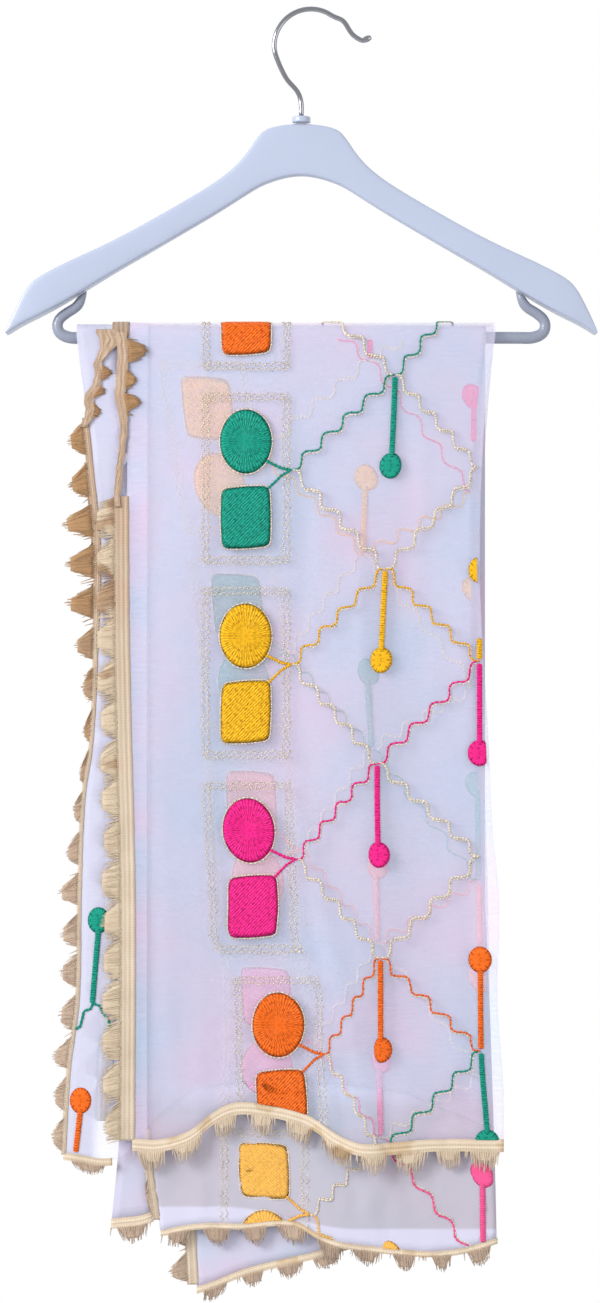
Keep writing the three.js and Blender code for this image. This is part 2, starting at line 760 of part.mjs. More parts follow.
// trim beside a left-hand edge, in step with the rows of the cloth
function sideLace(edgeTable, hemDown, firstRow, lastRow, options) {
  const rowAt = (row) => (hemDown * row) / ROWS.front;
  return laceGeometry({
    edge: sideEdge(edgeTable, hemDown, ROWS.front),
    out: { x: -1, down: 0 },
    teeth: spans({ from: rowAt(firstRow), to: rowAt(lastRow), count: lastRow - firstRow }),
    locks: 1,
    sag: TUFT.sideDrop,
    ...options,
  });
}

// trim below a hem, whose tufts begin at the cloth's first column
function hemLace({ hem, hemAt, columns, lace, ply }) {
  const [first, last] = [hem[0].x, hem[hem.length - 1].x];
  const end = lerp(first, last, (lace.tufts * lace.columnsPerTuft) / columns);
  return laceGeometry({
    edge: (x) => ({ x, down: hemAt(x) }),
    out: { x: 0, down: 1 },
    size: () => lace,
    teeth: spans({ from: first, to: end, count: lace.tufts }),
    locks: lace.locks,
    ply,
  });
}

// ---------------------------------------------------------------- materials

const chrome = new THREE.MeshStandardMaterial({ color: 0xc9ccd2, roughness: 0.18, metalness: 1 });
const plastic = new THREE.MeshStandardMaterial({ color: 0xc5cde4, roughness: 0.42, metalness: 0 });
const barPlastic = new THREE.MeshStandardMaterial({ color: 0xa9b0c6, roughness: 0.45, metalness: 0 });
const chiffon = new THREE.MeshStandardMaterial({ color: 0xdfe1f6, roughness: 0.8, metalness: 0 });
const goldLace = new THREE.MeshStandardMaterial({ color: 0xd8c29e, roughness: 0.6, metalness: 0.1 });

// ---------------------------------------------------------------- assembly

const dupattaOnHanger = new THREE.Group();

function piece(name, geometry, material) {
  const mesh = new THREE.Mesh(geometry, material);
  mesh.name = name;
  dupattaOnHanger.add(mesh);
}

piece('hanger_hook', hookGeometry(), chrome);
piece('hanger_collar', collarGeometry(), plastic);
piece('hanger_body', bodyGeometry(), plastic);
piece('hanger_bar', barGeometry(), barPlastic);

piece('near_cloth', nearClothGeometry(), chiffon);
piece('far_cloth_top', farClothGeometry('farTop'), chiffon);
piece('far_cloth_middle', farClothGeometry('farMiddle'), chiffon);
piece('far_cloth_under', farClothGeometry('farUnder'), chiffon);

const nearEdge = { size: () => LACE.edge, ply: PLY.nearTop };
const underEdge = {
  size: (down) => ({
    tape: readTable(UNDER_EDGE_LACE, 'down', 'tape', down),
    reach: readTable(UNDER_EDGE_LACE, 'down', 'reach', down),
  }),
  ply: PLY.nearUnder,
};

// the near edge's trim hangs straight from its first tufted row to the hem
piece('near_edge_lace', sideLace(
  NEAR_LEFT, NEAR_HEM[0].down, FIRST_TUFTED_ROW.near, ROWS.front, nearEdge), goldLace);

// above that it is turned over onto the cloth, so its tufts point inward
piece('near_edge_lace_turned', laceGeometry({
  edge: (down) => ({ x: readTable(NEAR_LEFT, 'down', 'x', down) - TURNED_INSET, down }),
  out: { x: 1, down: 0 },
  size: () => LACE.turned,
  teeth: spans(TUFTED.turned),
  locks: 2,
  ply: PLY.nearTop,
  lift: CLOTH.thickness / 2 + SEAM + LACE_THICKNESS / 2,
}), goldLace);

// it goes on over the bar as bare tape and down the back with its tufts
const backEdge = (ply) => sideEdge(BACK_LEFT[ply], CLOTH.backDrop, ROWS.back);
piece('near_edge_lace_back', laceGeometry({
  edge: (t) => (t >= 0 ? backEdge(PLY.nearTop)(t) : {
    x: readTable(NEAR_LEFT, 'down', 'x', 0),
    spot: { part: 'over', angle: QUARTER + radians(t) },
  }),
  out: { x: -1, down: 0 },
  size: () => LACE.edge,
  plain: Array.from({ length: ROWS.over }, (_, i) => -180 + (i * 180) / ROWS.over),
  teeth: spans(TUFTED.nearBack),
  locks: 1,
  sag: TUFT.sideDrop,
  ply: PLY.nearTop,
  part: 'back',
}), goldLace);

piece('under_edge_lace', sideLace(
  UNDER_LEFT, UNDER_HEM[0].down, FIRST_TUFTED_ROW.under, ROWS.front, underEdge), goldLace);
piece('under_edge_lace_back', laceGeometry({
  edge: backEdge(PLY.nearUnder),
  out: { x: -1, down: 0 },
  size: () => LACE.edge,
  teeth: spans(TUFTED.underBack),
  locks: 1,
  sag: TUFT.sideDrop,
  ply: PLY.nearUnder,
  part: 'back',
}), goldLace);

piece('near_hem_lace', hemLace({
  hem: NEAR_HEM,
  hemAt: nearHemAt,
  columns: NEAR_COLUMNS,
  lace: HEM_LACE.near,
  ply: PLY.nearTop,
}), goldLace);
piece('under_hem_lace', hemLace({
  hem: UNDER_HEM,
  hemAt: underHemAt,
  columns: UNDER_COLUMNS,
  lace: HEM_LACE.under,
  ply: PLY.nearUnder,
}), goldLace);

// trims of the far end
const farHemLace = (name) => {
  const { hem, columns } = FAR_END[name];
  return hemLace({ hem, hemAt: farHemAt[name], columns, lace: HEM_LACE[name], ply: PLY[name] });
};
piece('far_hem_lace', farHemLace('farTop'), goldLace);
piece('far_middle_hem_lace', farHemLace('farMiddle'), goldLace);
piece('far_under_hem_lace', farHemLace('farUnder'), goldLace);
piece('far_edge_lace', laceGeometry({
  edge: (down) => ({ x: readTable(FAR_TOP_LEFT, 'down', 'x', down), down }),
  out: { x: -1, down: 0 },
  size: () => LACE.farEdge,
  teeth: spans(TUFTED.farEdge),
  locks: 1,
  ply: PLY.farTop,
}), goldLace);
piece('far_under_edge_lace', laceGeometry({
  edge: (down) => ({ x: readTable(FAR_UNDER_LEFT, 'down', 'x', down), down }),
  out: { x: -1, down: 0 },
  size: () => LACE.farUnderEdge,
  teeth: spans(TUFTED.farUnderEdge),
  locks: 2,
  sag: TUFT.sideDrop,
  ply: PLY.farUnder,
}), goldLace);

export default dupattaOnHanger;
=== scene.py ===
import math
import random
import bpy
import bmesh
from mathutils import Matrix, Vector, noise


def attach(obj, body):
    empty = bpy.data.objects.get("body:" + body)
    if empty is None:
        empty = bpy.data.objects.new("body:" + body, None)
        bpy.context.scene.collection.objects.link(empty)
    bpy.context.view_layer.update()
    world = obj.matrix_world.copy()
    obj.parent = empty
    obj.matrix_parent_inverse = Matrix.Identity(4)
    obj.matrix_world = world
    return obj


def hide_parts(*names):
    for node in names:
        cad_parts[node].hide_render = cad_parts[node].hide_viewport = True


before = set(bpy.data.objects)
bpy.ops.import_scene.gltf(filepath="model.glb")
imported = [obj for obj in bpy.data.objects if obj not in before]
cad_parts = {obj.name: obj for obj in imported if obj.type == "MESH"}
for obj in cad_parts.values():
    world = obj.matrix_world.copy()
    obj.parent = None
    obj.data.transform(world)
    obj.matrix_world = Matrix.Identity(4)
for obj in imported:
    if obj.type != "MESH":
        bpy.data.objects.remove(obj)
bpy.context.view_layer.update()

mm = 0.001
# vector noise otherwise differs from run to run
noise.seed_set(5)

studio = {
    "eye": (-0.008, -2.4, -0.4655), "middleY": -0.012, "pictureHigh": 0.9434, "sensor": 36.0,
    "behind": 1.0, "ahead": 0.62, "turn": (-0.25, 0.3), "aim": (0, 0, -0.5),
    "floorZ": -1.25, "floorHalf": 1.3,
    "key": {"at": (-1.9, -1.5, 0.5), "size": 1.0, "watts": 66.0},
    "fill": {"at": (1.9, -1.8, -0.3), "size": 2.0, "watts": 17.0},
    "rear": {"at": (0.6, 2.4, 0.8), "size": 2.0, "watts": 14.0},
}


def setStudio():
    lens = bpy.data.cameras.new("camera")
    camera = bpy.data.objects.new("camera", lens)
    bpy.context.scene.collection.objects.link(camera)
    camera.location = studio["eye"]
    camera.rotation_euler = (math.radians(90), 0, 0)
    lens.sensor_fit = "VERTICAL"
    lens.sensor_height = studio["sensor"]
    lens.lens = studio["sensor"] * (studio["middleY"] - studio["eye"][1]) / studio["pictureHigh"]
    bpy.context.scene.camera = camera
    bpy.context.scene.view_settings.view_transform = "Standard"

    world = bpy.data.worlds.new("studio")
    bpy.context.scene.world = world
    world.use_nodes = True
    background = world.node_tree.nodes["Background"]
    background.inputs["Color"].default_value = (1, 1, 1, 1)
    # white behind the cloth and dimmer in front of it, so that the key light models the folds
    nodes, link = world.node_tree.nodes, world.node_tree.links.new
    where, parts, level = (nodes.new("ShaderNode" + kind) for kind in ("TexCoord", "SeparateXYZ", "MapRange"))
    limits = (*studio["turn"], studio["ahead"], studio["behind"])
    for socket, value in zip(("From Min", "From Max", "To Min", "To Max"), limits):
        level.inputs[socket].default_value = value
    link(where.outputs["Generated"], parts.inputs[0])
    link(parts.outputs["Y"], level.inputs["Value"])
    link(level.outputs[0], background.inputs["Strength"])

    for name in ("key", "fill", "rear"):
        row = studio[name]
        light = bpy.data.lights.new(name, "AREA")
        light.energy = row["watts"]
        light.size = row["size"]
        lamp = bpy.data.objects.new(name, light)
        bpy.context.scene.collection.objects.link(lamp)
        lamp.location = row["at"]
        toward = Vector(studio["aim"]) - lamp.location
        lamp.rotation_euler = toward.to_track_quat("-Z", "Y").to_euler()


setStudio()
print("studio set")


# shader maths: a socket that takes part in arithmetic
class Link:
    def __init__(self, finish, socket):
        self.finish = finish
        self.socket = socket

    def math(self, operation, other=None, swapped=False):
        pair = (other, self) if swapped else (self, other)
        inputs = {i: v for i, v in enumerate(pair) if v is not None}
        return self.finish.node("ShaderNodeMath", {"operation": operation}, inputs)

    def __add__(self, other):
        return self.math("ADD", other)

    def __radd__(self, other):
        return self.math("ADD", other, True)

    def __sub__(self, other):
        return self.math("SUBTRACT", other)

    def __rsub__(self, other):
        return self.math("SUBTRACT", other, True)

    def __mul__(self, other):
        return self.math("MULTIPLY", other)

    def __rmul__(self, other):
        return self.math("MULTIPLY", other, True)

    # a wave of the given length along this value
    def wave(self, length):
        return (self * (2 * math.pi / length)).math("SINE")


class Finish:
    def __init__(self, name, color, roughness=0.5, **constants):
        self.material = bpy.data.materials.new(name)
        self.material.use_nodes = True
        self.tree = self.material.node_tree
        self.shader = self.tree.nodes["Principled BSDF"]
        self.shader.inputs["Base Color"].default_value = (*color, 1)
        self.shader.inputs["Roughness"].default_value = roughness
        for socket, value in constants.items():
            self.shader.inputs[socket.replace("_", " ")].default_value = value

    def node(self, kind, settings=None, inputs=None, out=0):
        made = self.tree.nodes.new(kind)
        for key, value in (settings or {}).items():
            if key == "stops":
                ramp = made.color_ramp.elements
                for i, (place, shade) in enumerate(value):
                    stop = ramp[i] if i < 2 else ramp.new(place)
                    stop.position = place
                    stop.color = (*shade, 1)
            else:
                setattr(made, key, value)
        for key, value in (inputs or {}).items():
            self.feed(made.inputs[key], value)
        return Link(self, made.outputs[out])

    def feed(self, socket, value):
        if isinstance(value, Link):
            self.tree.links.new(value.socket, socket)
        elif isinstance(value, (tuple, list)) and len(value) == 3 and socket.type == "RGBA":
            socket.default_value = (*value, 1)
        else:
            socket.default_value = value

    def set(self, socket, value):
        self.feed(self.shader.inputs[socket], value)

    def axes(self, source="UV"):
        where = self.node("ShaderNodeTexCoord", out=source)
        parts = self.node("ShaderNodeSeparateXYZ", None, {0: where}).socket.node.outputs
        return where, Link(self, parts[0]), Link(self, parts[1]), Link(self, parts[2])

    def step(self, value, start, stop, low=0.0, high=1.0):
        settings = {"interpolation_type": "SMOOTHSTEP"}
        return self.node("ShaderNodeMapRange", settings, {
            "Value": value, "From Min": start, "From Max": stop, "To Min": low, "To Max": high})

    def noise(self, vector, scale, detail=2.0, stretch=None):
        if stretch:
            vector = self.node("ShaderNodeVectorMath", {"operation": "MULTIPLY"}, {0: vector, 1: stretch})
        return self.node("ShaderNodeTexNoise", None, {"Vector": vector, "Scale": scale, "Detail": detail})

    def blend(self, share, first, second):
        return self.node("ShaderNodeMix", {"data_type": "RGBA"}, {0: share, 6: first, 7: second}, out=2)

    def bump(self, height, distance, strength=1.0):
        self.set("Normal", self.node("ShaderNodeBump", None, {
            "Height": height, "Distance": distance, "Strength": strength}))


# a place in a table between its rows, along a smooth curve
def readTable(rows, at):
    if at <= rows[0][0]:
        return rows[0][1]
    if at >= rows[-1][0]:
        return rows[-1][1]
    i = next(k for k, row in enumerate(rows) if row[0] > at) - 1

    def slope(k):
        before, after = rows[max(k - 1, 0)], rows[min(k + 1, len(rows) - 1)]
        return (after[1] - before[1]) / (after[0] - before[0])

    span = rows[i + 1][0] - rows[i][0]
    t = (at - rows[i][0]) / span
    rise = rows[i + 1][1] - rows[i][1]
    bend, bendEnd = slope(i) * span - rise, rise - slope(i + 1) * span
    return rows[i][1] + rise * t + t * (1 - t) * ((1 - t) * bend + t * bendEnd)


def lerp(a, b, share):
    return a + (b - a) * share


def ramp(value):
    share = min(max(value, 0.0), 1.0)
    return share * share * (3 - 2 * share)


hanger = {"midX": -7.0, "barRadius": 4.7, "barZ": -237.1}
drape = {
    "clearance": 0.3, "wall": 1.0, "spacingAtBar": 1.35, "spacingLow": 2.8, "spreadOver": 150.0,
    "backDrop": 572.0, "returnRise": 34.0, "returnRows": 4, "shell": 0.36, "overTurn": 34.6,
}
plies = {"farUnder": 0, "farMiddle": 1, "farTop": 2, "nearUnder": 3, "nearTop": 4}

# how a ridge starts, ends and falls off to its sides
ridge = {"starts": 130, "ends": 90, "widths": 4}
# soft ridges: x, lean, width, height, from, to
frontFolds = [
    (-86, -0.05, 32, 3.4, 60, 640), (-20, 0.1, 30, -2.6, 120, 620), (34, 0.03, 30, 3.6, 150, 700),
    (84, -0.04, 30, -2.4, 80, 560), (122, 0.03, 26, 2.8, 40, 700), (-150, -0.02, 26, 2.2, 200, 700),
]
backFolds = [
    (-110, 0.04, 30, 3.2, 60, 700), (-48, -0.06, 32, -2.6, 90, 700), (14, 0.05, 30, 3.6, 50, 700),
    (66, 0.02, 28, -2.2, 150, 700), (112, -0.03, 26, 3.0, 40, 700),
]
nearCreases = [
    (-26, 0.2, 15, 4.2, 250, 700), (-96, 0.06, 16, 2.2, 380, 700), (58, -0.05, 17, 2.4, 300, 700),
    (104, 0.05, 16, 2.0, 90, 420),
]
# narrower creases that only the cloth itself has: x, lean, width, height, from, to
fineCreases = [
    (-18, 0.22, 4.5, 1.1, 260, 640), (-10, 0.17, 3.2, -0.8, 330, 700), (-106, 0.03, 5.0, 0.9, 200, 560),
    (-70, -0.02, 4.0, 0.7, 420, 700), (36, 0.05, 5.0, 0.9, 60, 330), (70, -0.03, 4.2, -0.8, 380, 700),
    (112, 0.06, 4.6, 1.0, 120, 520), (92, -0.05, 3.6, 0.7, 20, 240), (8, -0.04, 4.4, -0.7, 30, 260),
    (-54, 0.04, 3.6, 0.6, 30, 300), (-120, 0.0, 3.4, 0.8, 300, 640), (126, -0.02, 3.6, -0.8, 250, 640),
]


def relief(folds, x, down):
    total = 0.0
    for x0, lean, width, height, start, stop in folds:
        if down <= start or down >= stop:
            continue
        across = (x - x0 - lean * (down - start)) / width
        if abs(across) < ridge["widths"]:
            span = min(ridge["starts"], (stop - start) * 0.5)
            share = ramp((down - start) / span) * ramp((stop - down) / ridge["ends"])
            total += height * share * math.exp(-across * across / 2)
    return total


def plyDepth(ply, down, x=None):
    spacing = lerp(drape["spacingAtBar"], drape["spacingLow"], ramp(down / drape["spreadOver"]))
    own = max(relief(nearCreases, x, down), 0.0) if ply == plies["nearTop"] and x is not None else 0.0
    return drape["clearance"] + drape["wall"] / 2 + ply * spacing + own


uneven = {
    "soft": 0.6, "softSpan": (30, 95), "fine": 0.25, "fineSpan": (9, 46),
    "creased": (plies["farTop"], plies["nearTop"]), "atBar": 0.25, "freeBelow": 70,
    "crushed": 1.1, "crushedSpan": (11, 30, 8), "crushedFrom": 570, "crushedOver": 25, "crushedSeed": 9.0,
    "ripple": 0.8, "rippleSpan": 2.7, "rippleFade": 34, "rippleX": -40, "rippleWide": 55,
}


# the small unevenness of one ply, outward
def crumple(ply, x, down, part):
    front = part == "front"
    seed = ply * 7.3 + (0 if front else 40)
    softX, softDown = uneven["softSpan"]
    fineX, fineDown = uneven["fineSpan"]
    soft = noise.noise(Vector((x / softX, down / softDown, seed)))
    fine = noise.noise(Vector((x / fineX, down / fineDown, seed + 3)))
    crease = relief(fineCreases, x if front else -x, down) if ply in uneven["creased"] else 0.0
    if ply == plies["farTop"] and front and down > uneven["crushedFrom"]:
        # the uncovered stretch of the far end is crushed
        wide, slant, high = uneven["crushedSpan"]
        crushed = noise.noise(Vector((x / wide + down / slant, down / high, uneven["crushedSeed"])))
        crease += uneven["crushed"] * crushed * ramp((down - uneven["crushedFrom"]) / uneven["crushedOver"])
    if ply == plies["nearTop"] and front:
        # the hem is drawn up here and ripples the cloth above it
        above = max(readTable(nearCloth["hem"], x) - down, 0)
        aside = (x - uneven["rippleX"]) / uneven["rippleWide"]
        fade = math.exp(-above / uneven["rippleFade"] - aside ** 2)
        crease += uneven["ripple"] * math.sin(above / uneven["rippleSpan"]) * fade
    free = lerp(uneven["atBar"], 1, ramp(down / uneven["freeBelow"]))
    return (uneven["soft"] * soft + uneven["fine"] * fine + crease) * free


# a point by its place along the bar, its distance behind the bar's axis and its height over it
def fromBar(x, behind, above):
    return Vector((hanger["midX"] + x, behind, hanger["barZ"] + above)) * mm


# a spot is (part, down, angle): the front or back drop, over the bar, round the middle fold, or its inner leg
def place(spot, x, depth, ply):
    part, down, angle = spot
    out = hanger["barRadius"] + depth
    if part == "over":
        return fromBar(x, out * math.sin(angle), out * math.cos(angle))
    rough = crumple(ply, x, down, part)
    if part == "front":
        return fromBar(x, -(out + rough + relief(frontFolds, x, down)), -down)
    shift = relief(backFolds, x, down)
    if part == "back":
        return fromBar(x, out + rough + shift, -down)
    centre = hanger["barRadius"] + plyDepth(plies["farTop"], down)
    radius = out - centre
    if part == "fold":
        radius += rough * math.cos(angle)
    return fromBar(x, centre + shift + radius * math.cos(angle), -down - radius * math.sin(angle))


def frontSpots(hemDown, rows):
    return [("front", hemDown * (1 - i / rows), 0.0) for i in range(rows)]


def overSpots(rows):
    return [("over", 0.0, -math.pi / 2 + math.pi * i / rows) for i in range(rows + 1)]


def backSpots(drop, rows):
    return [("back", drop * (i + 1) / rows, 0.0) for i in range(rows)]


def foldSpots(rows):
    turn = [("fold", drape["backDrop"], math.pi * (i + 1) / rows) for i in range(rows)]
    rise, steps = drape["returnRise"], drape["returnRows"]
    return turn + [("return", drape["backDrop"] - rise * (i + 1) / steps, math.pi) for i in range(steps)]


# faces, corners and materials of a piece while it is made
class Maker:
    def __init__(self):
        self.points, self.faces, self.uvs, self.slots = [], [], [], []

    def add(self, point, u=0.0, v=0.0):
        self.points.append(point)
        self.uvs.append((u, v))
        return len(self.points) - 1

    def face(self, corners, slot=0):
        self.faces.append(corners)
        self.slots.append(slot)

    def band(self, first, second, slot=0, closed=False):
        count = len(first)
        for i in range(count if closed else count - 1):
            j = (i + 1) % count
            self.face((first[i], first[j], second[j], second[i]), slot)

    # a thin closed plate, from rows of corners in front and behind
    def plate(self, fronts, backs, slot=0):
        for a, b in zip(fronts, fronts[1:]):
            self.band(a, b, slot)
        for a, b in zip(backs, backs[1:]):
            self.band(b, a, slot)
        for edge in (0, -1):
            self.band([row[edge] for row in fronts], [row[edge] for row in backs], slot)
            self.band(fronts[edge], backs[edge], slot)

    # a closed rod through rings of corners
    def rod(self, rings, slot):
        for a, b in zip(rings, rings[1:]):
            self.band(a, b, slot, True)
        self.face(tuple(reversed(rings[0])), slot)
        self.face(tuple(rings[-1]), slot)

    def finish(self, name, materials):
        mesh = bpy.data.meshes.new(name)
        mesh.from_pydata(self.points, [], self.faces)
        layer = mesh.uv_layers.new(name="thread")
        for loop in mesh.loops:
            layer.data[loop.index].uv = self.uvs[loop.vertex_index]
        for material in materials:
            mesh.materials.append(material)
        mesh.polygons.foreach_set("material_index", self.slots)
        mesh.polygons.foreach_set("use_smooth", [True] * len(self.faces))
        shape = bmesh.new()
        shape.from_mesh(mesh)
        bmesh.ops.recalc_face_normals(shape, faces=shape.faces)
        shape.to_mesh(mesh)
        shape.free()
        mesh.update()
        obj = bpy.data.objects.new(name, mesh)
        bpy.context.scene.collection.objects.link(obj)
        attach(obj, "root")
        return obj


# how far a spot lies along its ply: below the bar in front it is positive, behind the bar negative
def travelOf(spot):
    part, down, angle = spot
    if part == "front":
        return down
    if part == "over":
        return -(angle / math.pi + 0.5) * drape["overTurn"]
    return -drape["overTurn"] - down


# columns of (spot, x, depth, side x, side depth) become a thin closed shell; each has its own ply
def shell(name, columns, material, owners):
    maker = Maker()
    half = drape["shell"] / 2
    outer, inner = [], []
    across = [0.0]
    for before, after in zip(columns, columns[1:]):
        (_, xa, da, _, _), (_, xb, db, _, _) = before[0], after[0]
        across.append(across[-1] + math.hypot(xb - xa, db - da))
    for r in range(len(columns[0])):
        rows = ([], [])
        for column, owner, u in zip(columns, owners, across):
            spot, x, depth, sideX, sideDepth = column[r]
            for side, row in zip((half, -half), rows):
                point = place(spot, x + side * sideX, depth + side * sideDepth, owner)
                row.append(maker.add(point, u, travelOf(spot)))
        outer.append(rows[0])
        inner.append(rows[1])
    maker.plate(outer, inner)
    return maker.finish(name, [material])


# measures along the cloth are in millimetres, those with X or Z are metres in the frame
chiffon = {
    "thread": 0.62, "slub": 0.09, "cloud": 0.011, "cool": (0.7, 0.8, 1.0), "plain": (0.8, 0.8, 1.0),
    "warm": (0.91, 0.77, 0.97), "shares": (0.37, 0.49, 0.62), "sheer": 0.155, "strip": 0.55,
    "stripU": (560.0, 572.0), "stripPaintedShade": 0.78, "selvage": 0.18, "selvageU": (20, 25),
    "selvageX": (-0.1192, -0.1172), "hemZ": (-0.8, -0.78), "bare": (0.49, 0.455, 0.52),
    "backed": (0.62, 0.61, 0.76), "backedZ": (-0.869, -0.866), "backedX": (-0.066, 0.034),
    "backedFall": -0.016,
}


def chiffonFinish(name, alpha, shade, covered=None):
    # shade darkens every tint of the cloth: painted shade for plies that lie in the shade of the stack
    def tinted(color):
        return tuple(min(c * shade, 1) for c in color)

    finish = Finish(name, tinted(chiffon["plain"]), 0.72, Sheen_Weight=0.15, Sheen_Roughness=0.5,
                    Specular_IOR_Level=0.2)
    where, u, v, _ = finish.axes()
    warp, weft = u.wave(chiffon["thread"]), v.wave(chiffon["thread"])
    slub = finish.noise(where, chiffon["slub"], 3.0, (1.0, 6.0, 1.0))
    cloud = finish.noise(where, chiffon["cloud"])
    tints = [tinted(chiffon[name]) for name in ("cool", "plain", "warm")]
    color = finish.node("ShaderNodeValToRGB", {"stops": list(zip(chiffon["shares"], tints))}, {0: cloud})
    if alpha < 1:
        # the strip that shows past the upper ply is closer, for nothing lies behind it
        strip = finish.step(u, *chiffon["stripU"])
        # so is the left selvage, which only the folded ply backs
        _, x, _, _ = finish.axes("Object")
        selvage = (1 - finish.step(x, *chiffon["selvageX"])) * (1 - finish.step(u, *chiffon["selvageU"]))
        close = chiffon["strip"] * strip + chiffon["selvage"] * selvage
        finish.set("Alpha", alpha + close + 0.05 * warp * weft + 0.1 * (slub - 0.5))
        # the more opaque strip is painted darker than the rest of the cloth: painted shade
        color = finish.blend(strip, color, tinted([c * chiffon["stripPaintedShade"] for c in chiffon["plain"]]))
    if covered:
        # what shows through the near end is lit through it, and that light is painted: below the near hem the
        # ply takes a greyer, darker tone mottled by the slubs, painted shade of the dark inside of the stack
        # behind the sheer cloth
        _, x, _, z = finish.axes("Object")
        color = finish.blend(0.4 + 0.6 * slub, color, chiffon["bare"])
        # lower down another ply lies behind it, so there the painted tone is lighter and bluer, with less
        # painted shade
        edge = z - finish.step(x, *chiffon["backedX"], 0.0, chiffon["backedFall"])
        color = finish.blend(1 - finish.step(edge, *chiffon["backedZ"]), color, chiffon["backed"])
        # above the near hem the part seen through the near end is painted at the plain colour times covered:
        # a painted light level for the light that comes through the near end
        shaded = tuple(c * covered for c in chiffon["plain"])
        color = finish.blend(finish.step(z, *chiffon["hemZ"]), color, shaded)
    finish.set("Base Color", color)
    finish.bump(0.5 * warp + 0.5 * weft + 1.2 * slub, 0.00012, 0.6)
    return finish.material


nearCloth = {
    "left": [(0, -126.2), (200, -125.6), (266, -124.4), (385, -121.4), (466, -121.0), (590, -121.6)],
    "right": [(0, 140.5), (60, 133.0), (120, 129.6), (190, 129.4), (292, 135.2), (357, 138.1), (408, 142.8),
              (480, 141.7), (545, 146.0), (590, 146.0)],
    "hem": [(-122, 581), (-104, 582), (-82, 576), (-63, 562), (-50, 556), (-33, 556), (3, 564), (26, 578),
            (42, 584), (64, 584), (96, 582), (146, 582)],
    "underLeft": [(0, -163), (42, -157.5), (97, -151.5), (155, -146.2), (220, -148), (292, -151.5),
                  (335, -157.5), (400, -160.2), (480, -161.7), (530, -168), (595, -171.8)],
    "underHem": [(-172, 592), (-130, 594), (-108, 566), (-74, 543), (60, 545), (120, 566), (146, 582)],
    "backRight": [(0, 140.5), (90, 134.0), (260, 132.5), (420, 137.0), (600, 139.0)],
    "backLeft": [(0, -126.2), (90, -116.0), (330, -109.0), (600, -112.0)],
    "underBackLeft": [(0, -163), (90, -148), (330, -134), (600, -141)],
    "rows": (132, 14, 84, 10), "columns": (84, 7, 48), "flatFrom": 0.8, "turn": 68, "turnShare": 0.9,
}


def makeNearCloth(material):
    spec = nearCloth
    frontRows, overRows, backRows, foldRows = spec["rows"]
    topColumns, turnColumns, underColumns = spec["columns"]
    outerPly, innerPly = plies["nearTop"], plies["nearUnder"]

    def column(hemDown, put):
        spots = (frontSpots(hemDown, frontRows) + overSpots(overRows)
                 + backSpots(drape["backDrop"], backRows) + foldSpots(foldRows))
        made = []
        for spot in spots:
            down = spot[1]
            right = readTable(spec["right" if spot[0] == "front" else "backRight"], down)
            radius = (plyDepth(outerPly, down) - plyDepth(innerPly, down)) / 2
            made.append((spot, *put(spot, right - radius, radius, down)))
        return made

    columns, owners = [], []
    hemLeft, hemRight = spec["hem"][0], spec["hem"][-1]
    for i in range(topColumns + 1):
        share = i / topColumns

        def top(spot, right, radius, down):
            front = spot[0] == "front"
            x = lerp(readTable(spec["left" if front else "backLeft"], down), right, share)
            # the creases end before the fold at the right
            fade = 1 - ramp((share - spec["flatFrom"]) / (1 - spec["flatFrom"]))
            flat = plyDepth(outerPly, down)
            raised = plyDepth(outerPly, down, x) if front else flat
            return x, lerp(flat, raised, fade), 0.0, 1.0

        columns.append(column(readTable(spec["hem"], lerp(hemLeft[0], hemRight[0], share)), top))
        owners.append(outerPly)
    for i in range(turnColumns):
        turn = math.radians(lerp(spec["turn"], -spec["turn"], i / (turnColumns - 1)))

        def bend(spot, right, radius, down):
            depth = plyDepth(innerPly, down) + radius * (1 + math.sin(turn))
            return right + radius * math.cos(turn), depth, math.cos(turn), math.sin(turn)

        columns.append(column(hemRight[1], bend))
        owners.append(outerPly)
    for i in range(underColumns, -1, -1):
        share = i / underColumns

        def under(spot, right, radius, down):
            left = readTable(spec["underLeft" if spot[0] == "front" else "underBackLeft"], down)
            return lerp(left, right, share), plyDepth(innerPly, down), 0.0, -1.0

        hem = readTable(spec["underHem"], lerp(spec["underHem"][0][0], hemRight[0], share))
        columns.append(column(hem, under))
        owners.append(outerPly if share > spec["turnShare"] else innerPly)
    return shell("near_cloth_drape", columns, material, owners)


farCloth = {
    "farTop": {
        "left": [(0, -112), (560, -110.5), (600, -109), (652, -101.5)],
        "hem": [(-102, 649), (-74, 644), (-44, 644), (-6, 642), (20, 655), (56, 661), (94, 664), (120, 661),
                (142, 654)],
        "drop": 572.0, "columns": 60, "rows": (96, 12, 30)},
    "farMiddle": {
        "left": [(0, -122), (560, -131), (600, -133.5), (645, -138)],
        "hem": [(-138, 641), (-108, 636), (-70, 612), (140, 610)],
        "drop": 537.7, "columns": 44, "rows": (64, 12, 24)},
    "farUnder": {
        "left": [(0, -82), (620, -79), (650, -78), (692, -75.8)],
        "hem": [(-76, 691), (-64, 687), (-38, 677), (8, 666), (60, 652), (140, 644)],
        "drop": 537.7, "columns": 44, "rows": (84, 12, 24)},
    "right": [(0, 134), (120, 124), (300, 128), (480, 136), (600, 140), (660, 141.5)],
}


def makeFarCloth(name, label, material):
    spec = farCloth[name]
    frontRows, overRows, backRows = spec["rows"]
    ply = plies[name]
    columns = []
    for i in range(spec["columns"] + 1):
        share = i / spec["columns"]
        hem = readTable(spec["hem"], lerp(spec["hem"][0][0], spec["hem"][-1][0], share))
        column = []
        for spot in frontSpots(hem, frontRows) + overSpots(overRows) + backSpots(spec["drop"], backRows):
            down = spot[1] if spot[0] == "front" else 0.0
            x = lerp(readTable(spec["left"], down), readTable(farCloth["right"], down), share)
            column.append((spot, x, plyDepth(ply, spot[1]), 0.0, 1.0))
        columns.append(column)
    return shell(label, columns, material, [ply] * len(columns))


